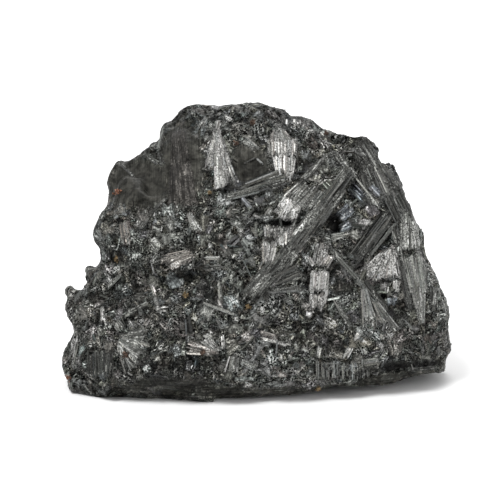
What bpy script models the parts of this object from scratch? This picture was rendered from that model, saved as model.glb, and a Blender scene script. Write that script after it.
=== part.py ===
"""A lump of manganese ore: one broken stone of steel-gray, bladed crystals.

The stone stands on its broken underside, with its broad crystalline face
towards -Y. Sizes are in millimetres until a mesh is made, then in metres.

Face coordinates (u, v, w) follow the broad face, which leans back a little:
u runs across it (+X), v runs up it, and w runs into the stone.
"""
import math
import random

import bmesh
import bpy
import numpy as np
from mathutils import Matrix, Vector
from mathutils.bvhtree import BVHTree

MM = 0.001
NODE_NAME = "ore_lump"

# Driving dimensions of the stone
FACE_LEAN = math.radians(12.0)
FRONT_BULGE = 30.0          # from the rim to the front of the broad face
BACK_BULGE = 32.0           # from the rim to the back
FRONT_SQUARENESS = 3.2      # 2 is an ellipse, larger is a blunter edge
BACK_SQUARENESS = 3.0
UNDERCUT_HEIGHT = 9.0       # the foot of the broad face turns under below this
UNDERCUT_DEPTH = 5.5
FACE_CENTRE = (0.0, 26.0)   # the rings of the surface spread from here

# Outline of the stone across its broad face, clockwise from the lower left.
# Each point is (u, v) on the face, and the last value is how far back the rim is.
OUTLINE = (
    (-40.0, -16.0, -4.0), (-49.0, -12.0, -4.0), (-53.2, -5.5, -4.0), (-53.9, 0.3, -3.0),
    (-55.0, 4.3, -2.0), (-54.8, 6.9, -2.0), (-53.9, 9.7, -3.0), (-52.3, 11.6, -3.0),
    (-52.3, 14.1, -2.0), (-53.2, 17.1, 0.0), (-54.4, 19.7, 1.0), (-54.6, 21.7, 1.0),
    (-53.6, 22.3, 1.0), (-53.6, 25.7, 2.0), (-53.2, 26.2, 2.0), (-48.9, 26.6, 3.0),
    (-48.2, 30.2, 4.0), (-45.2, 30.9, 3.0), (-44.3, 33.4, 2.0), (-45.6, 37.7, 0.0),
    (-46.5, 42.5, -1.0), (-44.5, 46.5, 0.0), (-42.2, 50.5, 2.0), (-42.6, 53.6, 3.0),
    (-42.2, 59.1, 3.0), (-40.8, 61.2, 4.0), (-37.2, 62.0, 5.0), (-32.5, 64.6, 4.0),
    (-30.3, 66.4, 3.0), (-27.7, 69.3, 3.0), (-26.6, 71.8, 4.0), (-23.4, 74.4, 5.0),
    (-20.2, 77.7, 6.0), (-17.6, 78.3, 7.0), (-11.7, 77.6, 7.0), (-7.4, 78.3, 6.0),
    (-3.0, 77.9, 5.0), (-0.9, 78.9, 5.0), (1.7, 78.6, 5.0), (3.6, 77.0, 4.0),
    (7.9, 76.4, 4.0), (9.7, 74.8, 4.0), (15.6, 73.7, 5.0), (18.5, 71.8, 5.0),
    (23.2, 69.7, 4.0), (30.5, 68.4, 3.0), (33.0, 67.1, 3.0), (34.8, 65.0, 4.0),
    (34.9, 62.8, 4.0), (35.4, 61.6, 4.0), (37.3, 61.4, 3.0), (39.2, 59.8, 2.0),
    (41.3, 53.7, 0.0), (43.2, 49.0, -1.0), (46.7, 40.2, -2.0), (47.9, 33.7, -2.0),
    (50.4, 29.5, -1.0), (52.9, 24.5, 0.0), (54.6, 19.1, 1.0), (54.1, 14.8, 2.0),
    (55.2, 10.3, 3.0), (55.0, 7.7, 3.0), (53.6, 5.3, 3.0), (54.0, 3.6, 2.0),
    (53.4, -2.0, 0.0), (50.0, -8.0, -2.0), (42.0, -13.0, -4.0), (30.0, -16.0, -5.0),
)

# Swells and hollows of the broad face:
# (centre u, centre v, half length, half width, direction in degrees, height)
FACE_FORMS = (
    (-30.0, 8.0, 24.0, 10.0, 0.0, 3.5),       # lower left lobe
    (-6.0, 6.0, 20.0, 8.0, 0.0, 3.0),         # lip over the underside
    (-31.0, 61.0, 14.0, 9.0, 60.0, -4.5),     # smooth shoulder falling away to the left
    (-1.0, 60.0, 8.0, 6.0, 80.0, -2.6),       # smooth hollow between the two bright tufts
    (12.0, 42.0, 16.0, 12.0, 52.0, 2.5),      # back of the long diagonal bundle
    (29.5, 50.0, 11.0, 6.0, 100.0, -3.4),     # sparkling hollow right of that bundle
    (22.5, 42.5, 4.5, 3.5, 0.0, -3.2),        # cavity under the hollow
    (41.0, 34.0, 26.0, 6.0, 98.0, 2.6),       # big bundle down the right side
    (33.0, 35.0, 7.0, 5.0, 30.0, 2.2),        # pale fan
    (-34.5, 26.0, 5.5, 4.0, 10.0, -3.4),      # pit on the left
    (-17.0, 27.5, 8.5, 3.4, 5.0, -3.0),       # pit in the middle left
    (19.0, 27.0, 4.0, 4.0, 0.0, -2.0),        # pit beside the bright column
    (-40.0, 40.0, 8.0, 6.0, 80.0, 2.2),       # left shoulder lump
    (-22.0, 42.0, 11.0, 7.0, 20.0, 2.0),      # granular swell
    (10.0, 9.0, 9.0, 6.0, 0.0, 1.8),          # lower middle swell
    (34.0, 12.0, 12.0, 5.0, -10.0, 1.6),      # swell over the crevice
    (40.0, -4.0, 26.0, 16.0, 0.0, -6.0),      # lower right, set back
)

# Steps of the broad face: the stone drops by the depth on the right-hand side
# of each line, walking from its start to its end, and rises back over the fade.
# (start u, start v, end u, end v, depth, fade)
FACE_STEPS = (
    (-1.0, 45.4, 12.0, 44.6, 3.0, 4.0),       # overhang with the black slit under it
    (27.0, 1.6, 53.0, 5.4, 4.5, 2.6),         # crevice above the lower right slab
    (28.5, 29.0, 39.0, 27.5, 2.4, 5.0),       # broken lower edge of the pale fan
    (-54.0, 26.8, -38.0, 27.4, 1.8, 5.0),     # ledge on the left
    (-20.0, 19.5, 4.0, 21.5, 1.6, 5.0),       # ledge in the middle
    (-26.6, 74.0, -28.5, 52.0, 2.2, 9.0),     # ridge beside the smooth shoulder
)

# Underside: the resting plane, then planes that rise outwards from it.
# (a point x, y on the plane at z = 0, rise per mm along x, and along y)
UNDERSIDE_RISES = (
    (12.0, 0.0, 0.060, 0.0),
    (-44.0, 0.0, -0.080, 0.0),
    (0.0, 14.0, 0.0, 0.160),
    (30.0, 8.0, 0.070, 0.110),
)

# Broken faces of the sides and back: (azimuth, elevation, distance from the core)
CORE = Vector((2.0, 2.0, 30.0))
BROKEN_FACES = (
    (62.0, 28.0, 32.5),
    (96.0, 8.0, 29.0),
    (128.0, 34.0, 33.5),
    (160.0, 12.0, 45.0),
    (25.0, 14.0, 44.5),
    (75.0, -32.0, 33.5),
    (112.0, -30.0, 34.5),
    (90.0, 58.0, 41.0),
)

BREAK_RAMP = 10.0           # the broken faces begin over this depth behind the rim

# Crystal bundles on the broad face:
# (start u, start v, end u, end v, blades, spread at start, spread at end,
#  blade width, height above the stone)
FACE_BUNDLES = (
    (-12.0, 70.5, -8.6, 54.0, 5, 1.0, 8.0, 2.6, 1.5),      # silver tuft
    (7.0, 69.0, 8.4, 55.5, 4, 6.5, 1.5, 2.8, 1.5),         # bright diamond patch
    (-8.3, 50.7, 7.1, 56.7, 2, 1.6, 3.0, 2.4, 1.2),        # gray fibrous band
    (7.1, 53.0, 19.7, 61.9, 1, 0.0, 0.0, 2.0, 1.6),        # lens-shaped blade
    (5.0, 47.6, 16.5, 52.5, 4, 5.5, 8.0, 2.6, 1.6),        # fan above the slit
    (-1.4, 24.8, 26.0, 60.0, 3, 5.2, 4.0, 3.0, 2.0),       # long diagonal bundle
    (22.8, 66.1, 33.6, 48.5, 2, 2.2, 2.6, 2.2, 1.5),       # narrow blades of the apex
    (29.5, 67.0, 39.0, 46.0, 4, 4.0, 7.5, 2.8, 1.6),       # top of the right bundle
    (39.0, 50.0, 44.5, 17.0, 4, 7.0, 3.0, 2.8, 1.5),       # foot of the right bundle
    (26.2, 33.1, 40.2, 46.5, 2, 2.4, 2.0, 2.4, 1.4),       # crossing band
    (36.5, 39.5, 33.2, 30.0, 4, 2.0, 8.6, 2.6, 1.7),       # pale fan
    (16.8, 34.5, 17.2, 19.0, 3, 3.0, 5.0, 2.4, 1.6),       # bright column
    (19.1, 37.6, 38.2, 17.7, 1, 0.0, 0.0, 1.9, 1.4),       # long thin blade
    (30.6, 24.6, 31.0, 14.4, 2, 2.6, 2.8, 2.2, 1.4),       # light blades
    (0.6, 11.0, 8.6, 12.6, 2, 1.6, 1.8, 2.4, 1.4),         # bright lens
    (18.0, 5.4, 27.6, 4.6, 2, 1.8, 1.8, 2.4, 1.2),         # comb of short fibres
    (-38.5, 14.0, -28.0, 8.0, 4, 1.5, 8.0, 2.4, 1.5),      # lower left fan
    (-20.0, 13.0, -10.0, 9.5, 3, 1.5, 6.0, 2.4, 1.5),      # radiating fan
    (-24.4, 69.5, -26.6, 57.0, 2, 2.0, 3.0, 2.0, 1.2),     # upright ridge
    (-14.0, 38.0, -2.0, 33.0, 3, 2.0, 6.0, 2.4, 1.4),      # fan of the granular swell
    (-33.0, 33.0, -24.0, 37.0, 2, 1.5, 4.0, 2.4, 1.4),     # small left fan
)

# Crystal bundles of the other sides, spread evenly round the stone
SIDE_BUNDLE_COUNT = 22
SIDE_BUNDLE_LENGTH = (11.0, 22.0)
SIDE_BUNDLE_BLADES = (2, 4)
SIDE_BUNDLE_HEIGHT = (1.2, 1.9)
SIDE_BLADE_WIDTH = (2.2, 3.2)
SIDE_FAN = (0.6, 1.5)             # a bundle's width at its end for its width at its start
SIDE_ELEVATIONS = (-22.0, 62.0)
SIDE_AZIMUTHS = (4.0, 176.0)      # from the right side, over the back, to the left
STAGGER = 0.16              # how far a blade slips along its bundle, as a share of its length

# Flat cleavage patches that break the whole surface up
PATCH_COUNT = 300
PATCH_SPACING = 6.5
PATCH_TILT = math.radians(7.9)      # usual tilt of a patch against the surface
PATCH_OFFSET = 0.55                 # usual height of a patch over the surface
PATCH_STRETCH = 2.2                 # a patch's length for its width
PATCH_LIMIT = 1.7                   # highest step between patch and surface
RIM_SHARE = 0.15                    # how much of a step is left on the outline

LONGEST_BLADE = 16.0
LINK_SLIP = 0.12            # how far neighbouring chains are out of step, as a share of a blade
LINK_OVERLAP = 0.08         # how far the blades of a chain overlap, as a share of a blade
BLADE_DEPTH = 3.2           # how deep a blade is rooted in the stone
BLADE_SHOULDER = 0.45       # share of a blade's height where its top slopes begin
BLADE_CREST = 0.34          # width of a blade's flat crest, as a share of its width
BLADE_POINT = 0.16          # share of its length over which a blade's end tapers

# Fineness of the mesh
EVEN_SPACING = 1.3
SECTORS = 220
FRONT_RINGS = 44
BACK_RINGS = 38
STONE_TRIANGLES = 8000      # before the blades are joined to the stone
LUMP_TRIANGLES = 10400      # before the underside is cut
SEED = 20


def face_to_stone(u, v, w):
    """A point given in face coordinates, in the stone's own frame."""
    return Vector((
        u,
        v * math.sin(FACE_LEAN) + w * math.cos(FACE_LEAN),
        v * math.cos(FACE_LEAN) - w * math.sin(FACE_LEAN),
    ))


FACE_INWARD = face_to_stone(0.0, 0.0, 1.0)


def direction(turn, rise):
    """The unit vector at an azimuth and an elevation."""
    return Vector((math.cos(turn) * math.cos(rise), math.sin(turn) * math.cos(rise), math.sin(rise)))


def clear_scene():
    for old in list(bpy.data.objects):
        bpy.data.objects.remove(old, do_unlink=True)


def even_outline(count):
    """The outline as evenly spaced points (u, v, rim depth)."""
    corners = np.array(OUTLINE)
    closed = np.vstack([corners, corners[:1]])
    steps = np.linalg.norm(np.diff(closed[:, :2], axis=0), axis=1)
    along = np.concatenate([[0.0], np.cumsum(steps)])
    stations = np.linspace(0.0, along[-1], count, endpoint=False)
    return np.column_stack([np.interp(stations, along, closed[:, axis]) for axis in range(3)])


def rounded_face(rim, rings, bulge, squareness):
    """Rings from the rim (left out) to the middle of one side, as (u, v, w)."""
    centre = np.array(FACE_CENTRE)
    layers = []
    for ring in range(1, rings):
        angle = 0.5 * math.pi * (1.0 - ring / rings)
        reach = math.sin(angle) ** (2.0 / squareness)
        depth = math.cos(angle) ** (2.0 / squareness)
        flat = centre + (rim[:, :2] - centre) * reach
        layers.append(np.column_stack([flat, rim[:, 2] * reach ** 2 + bulge * depth]))
    return layers


def face_relief(u, v):
    """Height of the broad face's swells, hollows and steps at (u, v)."""
    height = np.zeros_like(u)
    for centre_u, centre_v, length, width, degrees, rise in FACE_FORMS:
        turn = math.radians(degrees)
        du = u - centre_u
        dv = v - centre_v
        along = (du * math.cos(turn) + dv * math.sin(turn)) / length
        across = (dv * math.cos(turn) - du * math.sin(turn)) / width
        height += rise * np.exp(-(along ** 2 + across ** 2))
    for start_u, start_v, end_u, end_v, depth, fade in FACE_STEPS:
        run_u = end_u - start_u
        run_v = end_v - start_v
        length = math.hypot(run_u, run_v)
        along = ((u - start_u) * run_u + (v - start_v) * run_v) / length
        right = ((u - start_u) * run_v - (v - start_v) * run_u) / length
        inside = np.clip(along / 2.0, 0.0, 1.0) * np.clip((length - along) / 2.0, 0.0, 1.0)
        height -= depth * inside * np.where(right > 0.0, np.exp(-right / fade), 0.0)
    return height


def stone_grid():
    """The stone's closed surface: points in its own frame, and its faces."""
    rim = even_outline(SECTORS)
    front = rounded_face(rim, FRONT_RINGS, -FRONT_BULGE, FRONT_SQUARENESS)
    for layer in front:
        layer[:, 2] -= face_relief(layer[:, 0], layer[:, 1])
    back = rounded_face(rim, BACK_RINGS, BACK_BULGE, BACK_SQUARENESS)
    middle = np.array([[*FACE_CENTRE, 0.0]])
    front_middle = middle + (0.0, 0.0, -FRONT_BULGE - face_relief(*np.array(FACE_CENTRE)[:, None])[0])
    back_middle = middle + (0.0, 0.0, BACK_BULGE)
    points = np.vstack([front_middle] + front[::-1] + [rim] + back + [back_middle])

    ring_count = FRONT_RINGS + BACK_RINGS - 1
    last = len(points) - 1
    faces = []
    for sector in range(SECTORS):
        following = (sector + 1) % SECTORS
        faces.append((0, 1 + sector, 1 + following))
        for ring in range(ring_count - 1):
            inner = 1 + ring * SECTORS
            outer = inner + SECTORS
            faces.append((inner + sector, outer + sector, outer + following, inner + following))
        rear = 1 + (ring_count - 1) * SECTORS
        faces.append((last, rear + following, rear + sector))
    return [face_to_stone(*point) for point in points.tolist()], faces


def break_sides(stone):
    """Flatten the sides and back where the stone broke."""
    for azimuth, elevation, distance in BROKEN_FACES:
        outward = direction(math.radians(azimuth), math.radians(elevation))
        for vertex in stone.verts:
            proud = (vertex.co - CORE).dot(outward) - distance
            behind = min(1.0, max(0.0, vertex.co.dot(FACE_INWARD) / BREAK_RAMP + 0.1))
            if proud > 0.0:
                vertex.co -= outward * proud * behind


def undercut_foot(stone):
    """Turn the foot of the broad face under, towards the resting face."""
    for vertex in stone.verts:
        below = max(0.0, 1.0 - vertex.co.z / UNDERCUT_HEIGHT)
        vertex.co.y += UNDERCUT_DEPTH * min(below, 1.4) ** 1.5 * max(0.0, -vertex.co.y / FRONT_BULGE)


def cleave_patches(stone):
    """Set every part of the surface on one of many small, tilted, flat patches."""
    stone.normal_update()
    points = np.array([vertex.co for vertex in stone.verts])
    normals = np.array([vertex.normal for vertex in stone.verts])
    chance = np.random.default_rng(SEED)
    seeds = []
    for index in chance.permutation(len(points)):
        spot = points[index]
        if all(np.linalg.norm(spot - points[seed]) > PATCH_SPACING for seed in seeds):
            seeds.append(index)
        if len(seeds) == PATCH_COUNT:
            break
    nearest = np.full(len(points), np.inf)
    shift = np.zeros(len(points))
    for seed in seeds:
        outward = normals[seed]
        grain = np.cross(outward, chance.normal(size=3))
        grain /= np.linalg.norm(grain)
        facing = outward + math.tan(PATCH_TILT) * chance.normal(size=3)
        facing /= np.linalg.norm(facing)
        away = points - points[seed]
        along = away @ grain
        across = np.sqrt(np.maximum((away ** 2).sum(axis=1) - along ** 2, 0.0))
        reach = np.hypot(across, along / PATCH_STRETCH)
        slope = np.maximum(normals @ facing, 0.5)
        height = PATCH_OFFSET * chance.normal() - (away @ facing) / slope
        taken = reach < nearest
        nearest[taken] = reach[taken]
        shift[taken] = height[taken]
    shift = np.clip(shift, -PATCH_LIMIT, PATCH_LIMIT)
    for vertex, move in zip(stone.verts, shift.tolist()):
        off_rim = abs(vertex.normal.dot(FACE_INWARD))
        vertex.co += vertex.normal * move * min(1.0, RIM_SHARE + 1.6 * off_rim)


def cut_below(stone, point, upward):
    """Cut away what lies below a plane, and close the cut with a flat face."""
    geometry = stone.verts[:] + stone.edges[:] + stone.faces[:]
    cut = bmesh.ops.bisect_plane(
        stone, geom=geometry, dist=0.0001, plane_co=point, plane_no=upward, clear_inner=True
    )
    rim = [item for item in cut["geom_cut"] if isinstance(item, bmesh.types.BMEdge)]
    bmesh.ops.holes_fill(stone, edges=rim)


def cut_underside(stone):
    cut_below(stone, Vector((0.0, 0.0, 0.0)), Vector((0.0, 0.0, 1.0)))
    for x, y, rise_x, rise_y in UNDERSIDE_RISES:
        cut_below(stone, Vector((x, y, 0.0)), Vector((-rise_x, -rise_y, 1.0)).normalized())
    bmesh.ops.triangulate(stone, faces=stone.faces, ngon_method="EAR_CLIP")


def with_modifier(solid, name, kind, **settings):
    """The solid as one Blender modifier leaves it. The first solid is used up."""
    mesh = bpy.data.meshes.new(name)
    solid.to_mesh(mesh)
    solid.free()
    holder = bpy.data.objects.new(name, mesh)
    bpy.context.scene.collection.objects.link(holder)
    modifier = holder.modifiers.new(name, kind)
    for setting, value in settings.items():
        setattr(modifier, setting, value)
    evaluated = holder.evaluated_get(bpy.context.evaluated_depsgraph_get())
    result = bmesh.new()
    result.from_mesh(evaluated.to_mesh())
    evaluated.to_mesh_clear()
    bpy.data.objects.remove(holder, do_unlink=True)
    return result


def thin_out(solid, triangles):
    """Fewer, larger facets, by collapsing the edges that shape the surface least."""
    bmesh.ops.triangulate(solid, faces=solid.faces, ngon_method="EAR_CLIP")
    return with_modifier(solid, "facets", "DECIMATE", ratio=triangles / len(solid.faces))


def make_stone():
    """The whole stone without its proud crystals, as a mesh in millimetres."""
    points, faces = stone_grid()
    stone = bmesh.new()
    corners = [stone.verts.new(point) for point in points]
    for face in faces:
        stone.faces.new([corners[index] for index in face])
    bmesh.ops.recalc_face_normals(stone, faces=stone.faces)
    break_sides(stone)
    undercut_foot(stone)
    stone = with_modifier(stone, "even", "REMESH", mode="VOXEL", voxel_size=EVEN_SPACING)
    cleave_patches(stone)
    return thin_out(stone, STONE_TRIANGLES)


def blade_mesh(start, end, outward, width, height):
    """One crystal blade: a crested prism with tapered ends, rooted in the stone."""
    along = end - start
    length = along.length
    along.normalize()
    across = along.cross(outward).normalized()
    outward = across.cross(along)
    half = 0.5 * width
    section = (
        (-half, -BLADE_DEPTH), (half, -BLADE_DEPTH),
        (half, BLADE_SHOULDER * height), (half * BLADE_CREST, height),
        (-half * BLADE_CREST, height), (-half, BLADE_SHOULDER * height),
    )
    stations = ((0.0, 0.3), (BLADE_POINT, 1.0), (1.0 - BLADE_POINT, 1.0), (1.0, 0.3))
    blade = bmesh.new()
    loops = []
    for station, fullness in stations:
        middle = start + along * length * station
        loops.append([
            blade.verts.new(middle + across * (a * fullness) + outward * (b if b < 0.0 else b * fullness))
            for a, b in section
        ])
    for near, far in zip(loops, loops[1:]):
        for index in range(len(section)):
            after = (index + 1) % len(section)
            blade.faces.new((near[index], near[after], far[after], far[index]))
    blade.faces.new(list(reversed(loops[0])))
    blade.faces.new(loops[-1])
    bmesh.ops.recalc_face_normals(blade, faces=blade.faces)
    bmesh.ops.triangulate(blade, faces=blade.faces)
    return blade


def add_blade(crystals, start, end, outward, width, height):
    mesh = bpy.data.meshes.new("blade")
    blade = blade_mesh(start, end, outward, width, height)
    blade.to_mesh(mesh)
    blade.free()
    guide = bpy.data.objects.new(f"blade_{len(crystals.objects):03d}", mesh)
    guide.hide_render = True
    guide.display_type = "WIRE"
    crystals.objects.link(guide)


def on_face(surface, u, v):
    """The place and outward direction of the broad face at (u, v)."""
    hit, outward, _, _ = surface.ray_cast(face_to_stone(u, v, -2.0 * FRONT_BULGE), FACE_INWARD)
    if hit is None:
        hit, outward, _, _ = surface.find_nearest(face_to_stone(u, v, 0.0))
    return hit, outward


def add_face_bundles(crystals, surface):
    """Fans and bundles of blades on the broad face, side by side.

    A long bundle is a chain of shorter blades that follow the face.
    """
    for start_u, start_v, end_u, end_v, count, start_spread, end_spread, width, height in FACE_BUNDLES:
        start = Vector((start_u, start_v))
        run = Vector((end_u, end_v)) - start
        side = Vector((-run.y, run.x)).normalized()
        links = math.ceil(run.length / LONGEST_BLADE)
        for number in range(count):
            share = (number + 0.5) / count - 0.5
            lift = height * (1.0 - 0.7 * abs(share))
            slip = LINK_SLIP * (-1) ** number if links > 1 else 0.0
            ends = []
            for link in range(links + 1):
                station = min(1.0, max(0.0, (link + slip) / links))
                spread = start_spread + (end_spread - start_spread) * station
                place = start + run * station + side * share * spread
                ends.append(on_face(surface, place.x, place.y))
            for near, far in zip(ends, ends[1:]):
                overlap = (far[0] - near[0]) * (LINK_OVERLAP if links > 1 else 0.0)
                outward = (near[1] + far[1] - FACE_INWARD).normalized()
                add_blade(crystals, near[0] - overlap, far[0] + overlap, outward, width, lift)


def add_side_bundles(crystals, surface):
    """Bundles of blades lying at all angles on the sides, back and top."""
    chance = random.Random(SEED)
    for number in range(SIDE_BUNDLE_COUNT):
        share = (number + 0.5) / SIDE_BUNDLE_COUNT
        first, last = SIDE_AZIMUTHS
        turn = math.radians(first + (last - first) * share)
        rise = math.radians(chance.uniform(*SIDE_ELEVATIONS))
        hit, outward, _, _ = surface.ray_cast(CORE, direction(turn, rise))
        tumble = Vector((chance.gauss(0, 1), chance.gauss(0, 1), chance.gauss(0, 1)))
        grain = outward.cross(tumble).normalized()
        side = grain.cross(outward).normalized()
        length = chance.uniform(*SIDE_BUNDLE_LENGTH)
        width = chance.uniform(*SIDE_BLADE_WIDTH)
        count = chance.randint(*SIDE_BUNDLE_BLADES)
        height = chance.uniform(*SIDE_BUNDLE_HEIGHT)
        fan = chance.uniform(*SIDE_FAN)
        for blade in range(count):
            offset = (blade + 0.5 - 0.5 * count) * width * 0.95
            slip = length * chance.uniform(-STAGGER, STAGGER)
            start, _, _, _ = surface.find_nearest(hit + grain * (slip - 0.5 * length) + side * offset)
            end, _, _, _ = surface.find_nearest(hit + grain * (slip + 0.5 * length) + side * offset * fan)
            add_blade(crystals, start, end, outward, width, height)


def steel_gray():
    """The crystals' dark metallic gray."""
    material = bpy.data.materials.new("manganese_ore")
    material.use_nodes = True
    shader = material.node_tree.nodes["Principled BSDF"]
    shader.inputs["Base Color"].default_value = (0.105, 0.108, 0.104, 1.0)
    shader.inputs["Metallic"].default_value = 0.75
    shader.inputs["Roughness"].default_value = 0.42
    return material


def keep_outer_skin(solid):
    """Drop the skins of the small pockets that crossing blades enclose."""
    unseen = set(solid.verts)
    skins = []
    while unseen:
        skin = {unseen.pop()}
        front = list(skin)
        while front:
            near = [edge.other_vert(vertex) for vertex in front for edge in vertex.link_edges]
            front = list(set(near) & unseen)
            unseen.difference_update(front)
            skin.update(front)
        skins.append(skin)
    skins.sort(key=len)
    pockets = [vertex for skin in skins[:-1] for vertex in skin]
    bmesh.ops.delete(solid, geom=pockets, context="VERTS")


def grow_crystals(stone):
    """Join the blades to the stone in one solid.

    The blades cross each other at slight angles, where the EXACT solver leaves
    edges with four faces, so the union uses the MANIFOLD solver.
    """
    crystals = bpy.data.collections.new("crystals")
    bpy.context.scene.collection.children.link(crystals)
    surface = BVHTree.FromBMesh(stone)
    add_face_bundles(crystals, surface)
    add_side_bundles(crystals, surface)
    joined = with_modifier(
        stone, "crystals", "BOOLEAN",
        operation="UNION", operand_type="COLLECTION", collection=crystals, solver="MANIFOLD",
    )
    keep_outer_skin(joined)
    return thin_out(joined, LUMP_TRIANGLES)


def centre_footprint(solid):
    """Put the middle of the stone's footprint on the origin."""
    places = np.array([vertex.co for vertex in solid.verts])
    middle = 0.5 * (places.min(axis=0) + places.max(axis=0))
    bmesh.ops.translate(solid, verts=solid.verts, vec=Vector((-middle[0], -middle[1], 0.0)))


def add_lump(solid):
    """The finished stone as an object, in metres."""
    solid.transform(Matrix.Scale(MM, 4))
    mesh = bpy.data.meshes.new(NODE_NAME)
    solid.to_mesh(mesh)
    solid.free()
    mesh.materials.append(steel_gray())
    lump = bpy.data.objects.new(NODE_NAME, mesh)
    bpy.context.scene.collection.objects.link(lump)


clear_scene()
lump_solid = grow_crystals(make_stone())
cut_underside(lump_solid)
centre_footprint(lump_solid)
add_lump(lump_solid)
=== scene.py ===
"""Looks of the manganese ore lump: one stone of steel-gray, bladed crystals.

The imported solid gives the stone's form. Its surface is remeshed finely and
broken up, and covered with bundles of crystal laths: named bundles on the broad
face, larger ones on the other sides, and small seeded ones everywhere.
Lengths are in millimetres until a mesh is made.

Face coordinates (u, v) follow the broad face, which leans back a little: u runs
across it (+X), v runs up it, and w runs into the stone.
"""
import math
from collections import namedtuple

import bpy
import numpy as np
from mathutils import Matrix, Vector, noise
from mathutils.bvhtree import BVHTree
from mathutils.kdtree import KDTree


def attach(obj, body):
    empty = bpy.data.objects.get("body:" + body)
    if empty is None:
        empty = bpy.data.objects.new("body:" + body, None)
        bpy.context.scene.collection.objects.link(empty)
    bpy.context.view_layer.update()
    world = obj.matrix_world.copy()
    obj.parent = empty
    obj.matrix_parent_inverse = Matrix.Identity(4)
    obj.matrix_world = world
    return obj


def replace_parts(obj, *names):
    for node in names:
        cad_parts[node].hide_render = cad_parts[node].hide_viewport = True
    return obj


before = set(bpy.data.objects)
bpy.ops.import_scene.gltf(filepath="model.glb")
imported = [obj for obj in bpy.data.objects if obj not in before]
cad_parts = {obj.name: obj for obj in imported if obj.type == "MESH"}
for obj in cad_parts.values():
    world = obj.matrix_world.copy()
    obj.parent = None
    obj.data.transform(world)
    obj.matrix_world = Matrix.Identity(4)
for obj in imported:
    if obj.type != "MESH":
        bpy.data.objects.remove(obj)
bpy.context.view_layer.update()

NODE = "ore_lump"
BODY = "root"
MM = 0.001
SEED = 11

# The broad face, as the solid has it
FACE_LEAN = math.radians(12.0)
FACE_ORIGIN = np.array([0.03, -0.73, 0.0])      # where u = v = w = 0 lies on the solid
ACROSS = np.array([1.0, 0.0, 0.0])
UP_FACE = np.array([0.0, math.sin(FACE_LEAN), math.cos(FACE_LEAN)])
INTO_FACE = np.array([0.0, math.cos(FACE_LEAN), -math.sin(FACE_LEAN)])
FACE_REACH = 60.0               # the face bulges less than this from w = 0
FACE_DEPTH = 6.0                # places with less w belong to the face

# Camera
VIEW_CENTRE = (-2.0, 36.8)      # the (u, v) in the middle of the view
VIEW_WIDTH = 142.5              # how much of the face the view is wide
LENS = 250.0
SENSOR = 36.0

# Studio, in metres: place, size and power of each light
SOFTBOXES = {
    "key": ((-0.35, -0.55, 0.85), 0.35, 11.0),
    "fill": ((0.70, -0.60, 0.35), 0.45, 3.0),
    "back": ((0.10, 0.70, 0.70), 0.40, 5.0),
}
LIGHT_AIM = Vector((0.0, 0.0, 0.04))
SURROUND = 0.72                 # strength of the white all round
FLOOR_REACH = 3.0
PAPER = (0.86, 0.86, 0.86, 1.0)

# Ground of the stone: a mass of small blades, each with a direction, a lie and a tone
GROUND_SPACING = 0.51           # of its remeshed surface
GROUND_SUNK = 0.15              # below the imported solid, to leave room for crystals
BLADE_SPACING = 2.4             # between the middles of neighbouring blades
BLADE_STRETCH = 2.4             # how long a blade is for its width
BLADE_TILT = 0.26               # slope of a blade, which is less along it than across
TILT_ALONG = 0.5
TILT_ACROSS = 1.5
BLADE_STEP = 0.30
BLADE_SHADE = 0.55              # how much the blades differ in tone
BLADE_CHOICES = 6               # the nearest blades, of which a place takes one
BLADE_APART = 7.3               # between the striations that two blades take, or two bundles
BUNDLE_APART = 3.1
BLADE_RELIEF = (-0.9, 0.6)      # the lowest and the highest
EDGE_JITTER = 0.08              # of the edges between blades
# the gaps between blades are sunk and darkened: painted shade in the grooves
GAP_WIDTH = 0.7                 # of the dark gaps between blades
GAP_DEPTH = 0.35
GAP_SHADE = 0.93
MICRO_TINT = 0.035              # how much small crystals differ in colour
PATCH_SIZE = 4.5                # of the lighter and darker patches
PATCH_SHADE = 0.6
GRAIN_HEIGHT = 0.05
SWELL_SIZE = 7.0                # of the broad swellings
SWELL_HEIGHT = 0.3
PRESSED_PITCH = 0.6             # of the laths pressed into the ground
PRESSED_LATHS = 16              # with a length and tone of their own, in one bundle
PRESSED_SHADE = 0.16            # how much they differ in tone
PRESSED_RELIEF = (-0.25, 1.6)
# a bundle's rim is darkened more the higher it is lifted: painted shade at its edge
BUNDLE_RIM = 0.6                # of the dark rim of a bundle
RIM_SHADE = 0.7                 # how much darker it is
OUTLINE_CENTRE = (0.0, 30.0)    # the (u, v) the outline of the broad face is seen from
OUTLINE_WIDTH = 1.6             # of the calmer strip along the outline
OUTLINE_CALM = 0.75
FLOOR_FADE = 2.0                # the relief is full from this height on
SKIN_ROUNDS = 40                # of evening out the smooth skins
SKIN_PULL = 0.6                 # towards the neighbours, in each round
SKIN_BOTTOM = 4.0               # they are evened out from this height, and fully from twice it
SKIN_EDGE = 0.4                 # the share of skin from which fibres are the skin's
SKIN_CALM = 0.8                 # how much of the blades' relief a skin loses
SKIN_ROUGH = 0.14               # how much rougher it is than the blades
FOOT_TOP = 7.0                  # below this v the skins are more broken
FOOT_SKIN = 0.65
LEVEL_TOP = 20.0                # below this v the fibres of skins are level

GROUND = np.array([0.0750, 0.0765, 0.0687])
# dark smooth skins: the ore's own colour, and along the foot also painted shade under the stone
SKIN = np.array([0.0315, 0.0308, 0.0268])
# nearly black: the colour of painted shade in the hollows
PIT = np.array([0.004, 0.004, 0.004])
BRIGHTEST = (0.44, 0.44, 0.43)
CRYSTAL_TONE = 0.475            # of all crystals, for their named tones

# Factors of a tone for red, green and blue
TINTS = {
    "gray": np.array([0.985, 1.00, 0.935]),
    "cool": np.array([0.93, 1.00, 1.07]),
    "warm": np.array([1.06, 1.00, 0.92]),
    "silver": np.array([1.01, 1.00, 0.955]),
}

Bundle = namedtuple("Bundle", "start end widths tone lift ragged tint", defaults=("gray",))
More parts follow.
